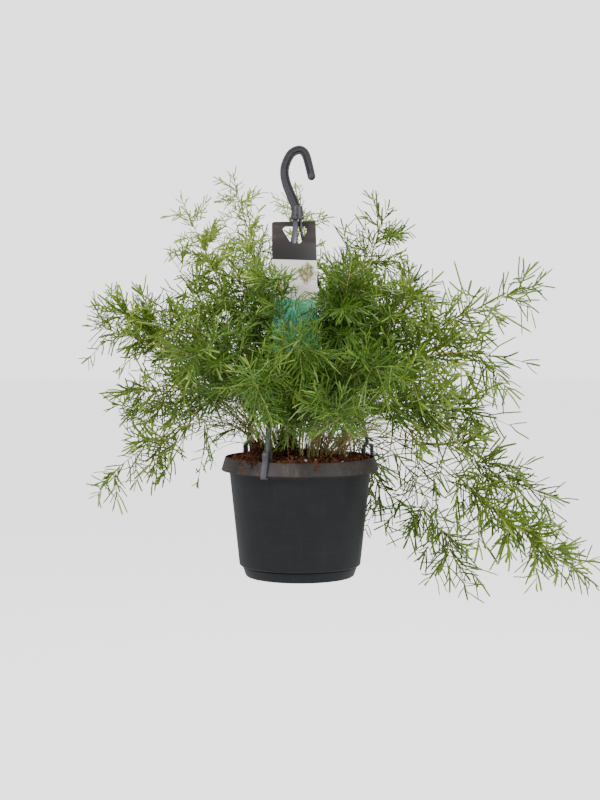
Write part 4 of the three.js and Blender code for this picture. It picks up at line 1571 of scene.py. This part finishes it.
class Clearings:
    """Where needles and shoots may not grow: in the pot, the hanger or the tag, or over its print."""

    HOOK_AIR = 7.0
    LEG_AIR = 3.4
    TAG_AIR = 3.0
    POT_AIR = 1.5
    SOIL_AIR = 1.0
    BOX_SPARE = 0.012  # a share of the box's sides
    TAG_FOOT_Z = 119
    TAG_TOP_Z = 274
    PRINT_WINDOWS = ((222, -36, 23), (192, 3, 21))  # each from a height up, and from the left to the right
    SKIRT_X = (-62, -56, -38, -26, -5, 12)
    SKIRT_Z = (12, 20, 14, 15, 19, 34)  # under this height the stems' feet stay in view at the front
    SKIRT_BACK_Y = 10
    SKIRT_HALF = 95
    CROOK_X = (-13, 12)
    CROOK_Z = (298, 345)
    CROOK_HALF = 9

    def __init__(self, low: Vector, high: Vector) -> None:
        """Notes the hanger's lines and the object's box.

        Args:
            low: the box's lowest corner in metres.
            high: its highest corner.
        """
        self.low = np.array(low) / MM + np.array([0, 0, HANG_Z])
        self.high = np.array(high) / MM + np.array([0, 0, HANG_Z])
        self.rods: list[tuple[np.ndarray, np.ndarray, float]] = []
        self._rod(upright(smooth_line(HOOK_LINE, 14)), self.HOOK_AIR)
        for azimuth in LEG_AZIMUTHS:
            for points in (LEG_LINE, CLIP_LINE):
                self._rod(leg_place(np.array(points, dtype=float), leg_outward(azimuth)), self.LEG_AIR)
        self.tag_y, self.tag_z = np.array(TAG_LINE)[::-1].T

    def _rod(self, line: np.ndarray, reach: float) -> None:
        """Notes one line of the hanger with the distance that is kept from it."""
        self.rods.extend((a, b, reach) for a, b in zip(line[:-1], line[1:]))

    def blocked(self, p: np.ndarray, spare: float = 0.0, leafy: bool = True) -> np.ndarray:
        """Tests points.

        Args:
            p: the points, one row each.
            spare: extra distance kept from everything.
            leafy: whether needles grow there, which leave the stems' feet in view.

        Returns:
            True for each point that is in the way.
        """
        room = self.BOX_SPARE * (self.high - self.low)
        bad = ((p < self.low - room) | (p > self.high + room)).any(axis=1)
        bad |= self._in_pot(p, spare) | self._at_tag(p, spare) | self._in_crook(p)
        if leafy:
            skirt = np.interp(p[:, 0], self.SKIRT_X, self.SKIRT_Z)
            before = (p[:, 1] < self.SKIRT_BACK_Y) & (np.abs(p[:, 0]) < self.SKIRT_HALF)
            bad |= (p[:, 2] < skirt) & before
        for a, b, reach in self.rods:
            way = b - a
            t = np.clip(((p - a) @ way) / (way @ way), 0, 1)
            bad |= np.linalg.norm(p - a - t[:, None] * way, axis=1) < reach + spare * 0.5
        return bad

    def _in_pot(self, p: np.ndarray, spare: float) -> np.ndarray:
        """Tests whether points lie in the pot, its soil or the air close round it.

        Args:
            p: the points.
            spare: extra distance kept from it.

        Returns:
            True for each that does.
        """
        r = np.hypot(p[:, 0], p[:, 1])
        sunk = p[:, 2] < soil_top(r) + self.SOIL_AIR
        return (p[:, 2] < 3 + spare) & np.where(r < 84, sunk, r < COLLAR_R + self.POT_AIR + spare)

    def _at_tag(self, p: np.ndarray, spare: float) -> np.ndarray:
        """Tests whether points lie in the card, or over the print that stays in view.

        Args:
            p: the points.
            spare: extra distance kept from the card.

        Returns:
            True for each that does.
        """
        x, y, z = p.T
        card = np.interp(z, self.tag_z, self.tag_y)
        level = (z > self.TAG_FOOT_Z - spare) & (z < self.TAG_TOP_Z)
        beside = (x > TAG_LEFT - 3 - spare) & (x < TAG_RIGHT + 5 + spare)
        bad = level & beside & (np.abs(y - card) < self.TAG_AIR + spare)
        for from_z, left, right in self.PRINT_WINDOWS:
            bad |= level & (z > from_z) & (y < card) & (x > left) & (x < right)
        return bad

    def _in_crook(self, p: np.ndarray) -> np.ndarray:
        """Tests whether points lie inside the hook's crook, which stays free.

        Args:
            p: the points.

        Returns:
            True for each that does.
        """
        x, y, z = p.T
        (left, right), (foot, top) = self.CROOK_X, self.CROOK_Z
        return (np.abs(y) < self.CROOK_HALF) & (x > left) & (x < right) & (z > foot) & (z < top)


@dataclass
class Line:
    """A curve in space that is read by its length."""

    points: np.ndarray

    def __post_init__(self) -> None:
        """Measures the curve."""
        self.along = lengths(self.points)
        self.length = float(self.along[-1])
        self.tangents = unit(np.gradient(self.points, self.along, axis=0))

    def at(self, s: np.ndarray | float) -> np.ndarray:
        """Gives the points at distances along the curve."""
        return np.stack([np.interp(s, self.along, self.points[:, k]) for k in range(3)], axis=-1)

    def heading(self, s: np.ndarray | float) -> np.ndarray:
        """Gives the curve's direction at distances along it."""
        return unit(np.stack([np.interp(s, self.along, self.tangents[:, k]) for k in range(3)], axis=-1))


@dataclass
class Stem:
    """One arching stem with its side shoots and needles."""

    index: int
    row: tuple[float, ...]
    clearings: Clearings
    radius: float = 0.78
    taper: float = 0.36
    kink: float = 0.28
    main_whorl: float = 5.2
    most: int = 3  # needles in a whorl
    shoot_radius: float = 0.62
    shoot_taper: float = 0.34
    side_stems: int = 5
    side_foot_radius: float = 0.46
    side_tip_radius: float = 0.3
    thinning: float = 0.26
    low_slots: int = 3

    def __post_init__(self) -> None:
        """Lays out the stem's curve."""
        azimuth, reach, tip, near, high, far, fall, young = self.row
        self.young = bool(young)
        self.habit = Habit.YOUNG if self.young else Habit.USUAL
        if self.index < LOOSE_STEMS:
            self.habit = Habit.LOOSE
        self.rng = np.random.default_rng(1000 + self.index)
        self.batch = MeshBatch(f"leafy_stem_{self.index + 1:02d}")
        out = np.array([math.cos(math.radians(azimuth)), math.sin(math.radians(azimuth)), 0.0])
        side = np.array([-out[1], out[0], 0.0])
        start = BASE_NEAR + (BASE_FAR - BASE_NEAR) * min(reach / REACH_FAR, 1.0)
        sway = (draw(self.index, 0, Purpose.SWAY) - 0.5) * 0.12 * reach
        self.base = out * start + UP * STEM_FOOT_Z
        a = out * start + UP * (float(soil_top(start)) + 3)
        b = out * near + UP * high
        c = out * far + side * sway + UP * fall
        d = out * reach + UP * tip
        t = np.linspace(0, 1, 160)[:, None]
        self.line = Line((1 - t) ** 3 * a + 3 * (1 - t) ** 2 * t * b + 3 * (1 - t) * t**2 * c + t**3 * d)

    @property
    def slots(self) -> int:
        """Gives how many side shoots the stem has room for."""
        return int(math.floor(self.line.length * (LEAFY_TO - LEAFY_FROM) / SHOOT_STEP + 0.5))

    def shoot(self, slot: float) -> tuple[float, Line]:
        """Lays out a side shoot.

        Args:
            slot: its number along the stem, with fractions for places between the whole ones.

        Returns:
            How far along the stem it leaves, as a share, and its curve.
        """
        along = LEAFY_FROM + (LEAFY_TO - LEAFY_FROM) * (slot + 0.5) / self.slots
        start = self.line.at(along * self.line.length)
        tangent = self.line.heading(along * self.line.length)
        turn = slot * SHOOT_TURN + draw(self.index, slot, Purpose.SHOOT_TURN) * 1.4
        level = unit(np.cross(UP, tangent))
        away = level * math.cos(turn) + np.cross(tangent, level) * math.sin(turn)
        lean = 0.8 + 0.3 * draw(self.index, slot, Purpose.SHOOT_LEAN)
        run = tangent * math.cos(lean) + away * math.sin(lean)
        length = (0.75 + 0.5 * draw(self.index, slot, Purpose.SHOOT_LENGTH)) * (70 - 40 * along)
        s = np.linspace(0, length, 12)[:, None]
        return along, Line(start + run * s - UP * SHOOT_SAG * s**2 / length)

    def build(self, materials: Sequence[bpy.types.Material]) -> None:
        """Makes the stem with all that grows on it.

        Args:
            materials: the needles' and the stem's materials.
        """
        self._main_stem()
        self._side_stems()
        vigour = 0.24 + 0.18 * self.rng.random()
        whorls = np.arange(self.line.length * LEAFY_FROM * 0.86, self.line.length - 1, self.main_whorl)
        grown = self.rng.random(len(whorls)) < fullness(self.line.at(whorls)) + 0.1
        self._needles(self.line, whorls[grown], vigour, 0.42 if self.young else 0.0)
        self._side_shoots(vigour)
        finish = Finish.YOUNG if self.young else Finish.FOLIAGE
        seat(self.batch.build(materials, 75), finish, f"stem_{self.index + 1:02d}")

    def _main_stem(self) -> None:
        """Adds the stem itself, slightly kinked, from its hole in the soil to its tip."""
        length = self.line.length
        s = np.linspace(0, length, max(18, int(length / 7)))
        line = np.vstack([[self.base], [(self.base + self.line.points[0]) / 2], self.line.at(s)])
        share = np.concatenate([[0, 0], s / length])
        kinks = self.rng.standard_normal((len(line), 3)) * self.kink * np.clip(share * 6, 0, 1)[:, None]
        radii = (self.radius - self.taper * share) * (1 + 0.06 * self.rng.standard_normal(len(line)))
        tone = 0.25 * draw(self.index, 0, Purpose.FOOT_TONE) + 0.5 * share + (0.2 if self.young else 0.0)
        tube(self.batch, line + kinks, radii, 7, tone)

    def _side_stems(self) -> None:
        """Adds slim bare stems that leave the foot and are lost in the foliage."""
        for k in range(self.side_stems):
            far = self.line.length * (0.3 + 0.16 * draw(self.index, k, Purpose.SIDE_LENGTH))
            s = np.linspace(0, far, 14)
            turn = FULL_TURN * draw(self.index, k, Purpose.SIDE_TURN)
            heading = self.line.heading(s)
            level = unit(np.cross(np.broadcast_to(UP, heading.shape), heading) + 1e-6)
            away = level * math.cos(turn) + np.cross(heading, level) * math.sin(turn)
            apart = 3.0 + 6.0 * draw(self.index, k, Purpose.SIDE_APART)
            drift = (12.0 + 12.0 * draw(self.index, k, Purpose.SIDE_DRIFT)) * (s / far) ** 1.3
            line = self.line.at(s) + away * (apart + drift)[:, None]
            if self.clearings.blocked(line[2:], leafy=False).any():
                continue
            foot = self.base + away[0] * apart
            tone = 0.5 * draw(self.index, k, Purpose.SIDE_TONE)
            radii = np.linspace(self.side_foot_radius, self.side_tip_radius, 15)
            tube(self.batch, np.vstack([[foot], line]), radii, 5, tone)

    def _side_shoots(self, vigour: float) -> None:
        """Adds the side shoots, cut short where something is in their way.

        Args:
            vigour: the shade of the stem, from 0, old, to 1, young.
        """
        for slot in np.arange(-self.low_slots, self.slots, 0.125):
            along, shoot = self.shoot(slot)
            if draw(self.index, slot, Purpose.SHOOT_GROWS) > self._chance(slot, along, shoot):
                continue
            free = ~self.clearings.blocked(shoot.points[1:], 1.5)
            reach = len(free) if free.all() else int(np.argmin(free))
            if reach < 4:
                continue
            if slot % 1 and self.habit is Habit.LOOSE:
                reach = max(4, int(reach * 0.6))
            fresh = 0.42 * min(1.0, max(0.0, (along - 0.5) * 4)) if self.young else 0.0
            self._grow_shoot(Line(shoot.points[: reach + 1]), along, vigour + fresh)

    def _chance(self, slot: float, along: float, shoot: Line) -> float:
        """Gives how likely a side shoot is to grow.

        Args:
            slot: its number along the stem. The solids' own shoots always grow, halves fill the usual
                growth, and quarters and eighths only grow where the crown is fuller.
            along: how far along the stem it leaves, as a share.
            shoot: its curve.

        Returns:
            The chance: 1 or more is certain, and 0 or less never.
        """
        if slot >= 0 and slot % SHOOT_EVERY == self.index % SHOOT_EVERY:
            return 1.0
        chance = fullness(shoot.points[7])
        if slot % 0.5:
            chance -= 2.0 if slot % 0.25 else 1.0
        if slot < 0:
            chance -= 1.0
        elif not self.young:
            chance -= np.clip((along - 0.78) / 0.12, 0, 1)
        return chance

    def _grow_shoot(self, shoot: Line, along: float, vigour: float) -> None:
        """Adds one side shoot with its needles.

        Args:
            shoot: its curve.
            along: how far along the stem it leaves, as a share.
            vigour: the shade of the stem there.
        """
        bend = self.rng.standard_normal(3) * 0.05
        share = (shoot.along / shoot.length)[:, None]
        shoot = Line(shoot.points + bend * shoot.length * share**2)
        s = np.linspace(0, shoot.length, 9)
        tone = vigour + 0.15 * along + 0.2 * s / shoot.length
        radii = self.shoot_radius - self.shoot_taper * s / shoot.length
        tube(self.batch, shoot.at(s), radii, 5, 0.35 + tone * 0.6)
        whorls = np.arange(4.0, shoot.length, self.habit.shoot_whorl)
        self._needles(shoot, whorls, vigour + 0.12 * along, 0.12)

    def _needles(self, line: Line, whorls: np.ndarray, vigour: float, gain: float) -> None:
        """Grows whorls of needles, and a tuft at the tip.

        Args:
            line: the axis that they grow on.
            whorls: the whorls' distances along it.
            vigour: the shade of the axis, from 0, old, to 1, young.
            gain: how much younger the shade is at the axis's tip.
        """
        rng = self.rng
        whorls = np.append(whorls[whorls < line.length - 8], line.length - np.array([5.0, 0.6]))
        many = rng.integers(2, self.most + 1, len(whorls))
        s = np.clip(np.repeat(whorls, many) + rng.normal(0, 0.7, many.sum()), 0, line.length)
        count = len(s)
        order = np.concatenate([np.arange(m) for m in many])
        phase = np.repeat(rng.random(len(whorls)) * FULL_TURN, many)
        turn = phase + order * FULL_TURN / np.repeat(many, many) + rng.normal(0, 0.28, count)
        start, tangent = line.at(s), line.heading(s)
        level = unit(np.cross(np.broadcast_to(UP, tangent.shape), tangent) + 1e-6)
        upper = np.cross(tangent, level)
        away = level * np.cos(turn)[:, None] + upper * np.sin(turn)[:, None]
        lean = rng.normal(0.98, 0.2, count).clip(0.5, 1.45)
        lean = lean * (1 - 0.3 * np.clip((s - line.length + 12) / 12, 0, 1))
        way = unit(tangent * np.cos(lean)[:, None] + away * np.sin(lean)[:, None])
        young = np.clip((s - line.length + 14) / 14, 0, 1)
        length = self.habit.needle * rng.normal(1.0, 0.17, count).clip(0.55, 1.35) * (1 - 0.3 * young)
        curl = rng.normal((0.15, 0.0, -0.02), (0.2, 0.12, 0.15), (count, 3)) * length[:, None]
        bend = tangent * curl[:, :1] + level * curl[:, 1:2] + UP * curl[:, 2:]
        half_way = start + way * length[:, None] * 0.5
        tip = start + way * length[:, None] + bend
        lost = self.thinning * outwardness(start) + np.clip(0.5 - 0.5 * fullness(start), 0, 0.45)
        keep = ~(self.clearings.blocked(tip) | self.clearings.blocked(half_way)) & (rng.random(count) > lost)
        if not keep.any():
            return
        start, way, bend, length, tangent = start[keep], way[keep], bend[keep], length[keep], tangent[keep]
        shade = vigour + gain * (s / line.length)[keep] + 0.12 * young[keep] + rng.normal(0, 0.09, keep.sum())
        # Needles deep inside the crown, round its heart, are made darker: painted shade, along with the older
        # growth there.
        shade -= 0.3 * np.clip(1.2 - np.linalg.norm(start - HEART_Z * UP, axis=1) / 110.0, 0, 1)
        wide = self.habit.inner_wide + (self.habit.outer_wide - self.habit.inner_wide) * outwardness(start)
        wide = wide * rng.normal(1.0, 0.1, len(start)).clip(0.75, 1.3)
        Blades(start, way, bend, length, tangent, wide, shade).add_to(self.batch)


# Studio


@dataclass(frozen=True)
class Lamp:
    """One soft square lamp: its place, what it is aimed at, its power and its size."""

    name: str
    place: tuple[float, float, float]
    target: tuple[float, float, float]
    power: float
    size: float

    def build(self) -> None:
        """Makes the lamp."""
        data = bpy.data.lights.new(self.name, "AREA")
        data.energy = self.power
        data.size = self.size
        lamp = bpy.data.objects.new(self.name, data)
        lamp.location = self.place
        aim = Vector(self.target) - Vector(self.place)
        lamp.rotation_euler = aim.to_track_quat("-Z", "Y").to_euler()
        bpy.context.scene.collection.objects.link(lamp)


LAMPS = (
    Lamp("key", (-1.5, -1.7, 1.7), (0, 0, -0.2), 66.0, 1.1),
    Lamp("fill", (1.9, -1.5, 0.8), (0, 0, -0.25), 34.0, 1.6),
    Lamp("back", (0.5, 1.7, 1.5), (0, 0, -0.1), 40.0, 1.4),
)


@dataclass
class Studio:
    """A pale floor and sky, soft lamps and the camera, in metres."""

    distance: float = 2.060
    rise: float = 0.191
    tilt: float = 3.5
    lens: float = 80.325
    backdrop: float = 2.3
    sky: float = 0.72
    floor_z: float = -0.95
    floor_half: float = 14.0
    floor_color: Color = (0.55, 0.55, 0.55, 1)

    def build(self) -> None:
        """Makes the floor, the sky, the lamps and the camera."""
        self._floor()
        self._sky()
        for lamp in LAMPS:
            lamp.build()
        self._camera()

    def _sky(self) -> None:
        """Makes the white sky, brighter where the camera looks straight into it."""
        world = bpy.data.worlds.new("studio_white")
        bpy.context.scene.world = world
        world.use_nodes = True
        back = world.node_tree.nodes["Background"]
        back.inputs["Color"].default_value = (1, 1, 1, 1)
        w = Wiring(world.node_tree)
        seen = w.node("LightPath").outputs["Is Camera Ray"]
        w.feed(back.inputs["Strength"], w.plus(w.times(seen, self.backdrop - self.sky), self.sky))

    def _camera(self) -> None:
        """Makes the camera, a little above the crook and tilted down."""
        data = bpy.data.cameras.new("camera")
        data.sensor_fit = "VERTICAL"
        data.sensor_height = 36.0
        data.lens = self.lens
        data.clip_start = 0.05
        data.clip_end = 60.0
        camera = bpy.data.objects.new("camera", data)
        camera.location = (0, -self.distance, self.rise - HANG_Z * MM)
        camera.rotation_euler = (math.radians(90 - self.tilt), 0, 0)
        bpy.context.scene.collection.objects.link(camera)
        bpy.context.scene.camera = camera

    def _floor(self) -> None:
        """Makes the pale floor, well under the hanging pot."""
        mesh = bpy.data.meshes.new("pale_floor")
        far = self.floor_half
        corners = [(x, y, self.floor_z) for x, y in ((-far, -far), (far, -far), (far, far), (-far, far))]
        mesh.from_pydata(corners, [], [(0, 1, 2, 3)])
        material, w, shader = start_material("pale_floor")
        shader["Base Color"].default_value = self.floor_color
        shader["Roughness"].default_value = 0.9
        shader["Emission Color"].default_value = (1, 1, 1, 1)
        seen = w.node("LightPath").outputs["Is Camera Ray"]
        w.feed(shader["Emission Strength"], w.times(seen, self.backdrop - 0.6))
        mesh.materials.append(material)
        floor = bpy.data.objects.new("pale_floor", mesh)
        bpy.context.scene.collection.objects.link(floor)
        floor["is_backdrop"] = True


# The pot's thick film over the collar is soil dust and painted light, which makes the collar lighter as if
# lit from above.
POT_PLASTIC = PlasticFinish(
    "pot_plastic_dark", rgb(15, 21, 27), rgb(32, 37, 43), shine=0.44, dust_and_painted_light=0.95, dust_and_painted_light_from=-17.0, gleam=0.36
)
HANGER_PLASTIC = PlasticFinish("hanger_plastic_grey", rgb(60, 59, 65), rgb(92, 91, 98), shine=0.34, dust_and_painted_light=0.1)
STRIP_PLASTIC = PlasticFinish("strip_plastic_grey", rgb(86, 84, 92), rgb(112, 110, 118), shine=0.36, dust_and_painted_light=0.1)
COMPOST = SoilFinish("compost", rgb(58, 32, 21), rgb(146, 92, 64))
PERLITE = SoilFinish("perlite", rgb(196, 188, 176), rgb(246, 243, 236))
NEEDLES = LeafFinish("needle_green", rgb(38, 64, 18), rgb(86, 124, 38), rgb(164, 188, 78), roughness=0.4)
BARK = LeafFinish("stem_green", rgb(218, 196, 150), rgb(150, 160, 84), rgb(160, 172, 92), roughness=0.55)


def main() -> None:
    """Builds every piece in order and notes the sizes."""
    logging.basicConfig(level=logging.INFO, format="%(name)s %(message)s")
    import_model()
    cad_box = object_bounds()
    Studio().build()
    effects = Effects()
    pot_plastic, hanger, strip = (f.build(effects) for f in (POT_PLASTIC, HANGER_PLASTIC, STRIP_PLASTIC))
    earth, perlite = COMPOST.build(), PERLITE.build()
    card, needles, bark = (f.build(effects) for f in (TagFinish(), NEEDLES, BARK))
    Pot().build(pot_plastic)
    Saucer().build(pot_plastic)
    Soil().build(earth, perlite)
    Hook().build(hanger)
    for number, azimuth in enumerate(LEG_AZIMUTHS, 1):
        Leg(number, azimuth).build(strip)
    HangTag().build(card)
    clearings = Clearings(*cad_box)
    for index, row in enumerate(STEM_ROWS):
        Stem(index, row, clearings).build([needles, bark])


if __name__ == "__main__":
    main()
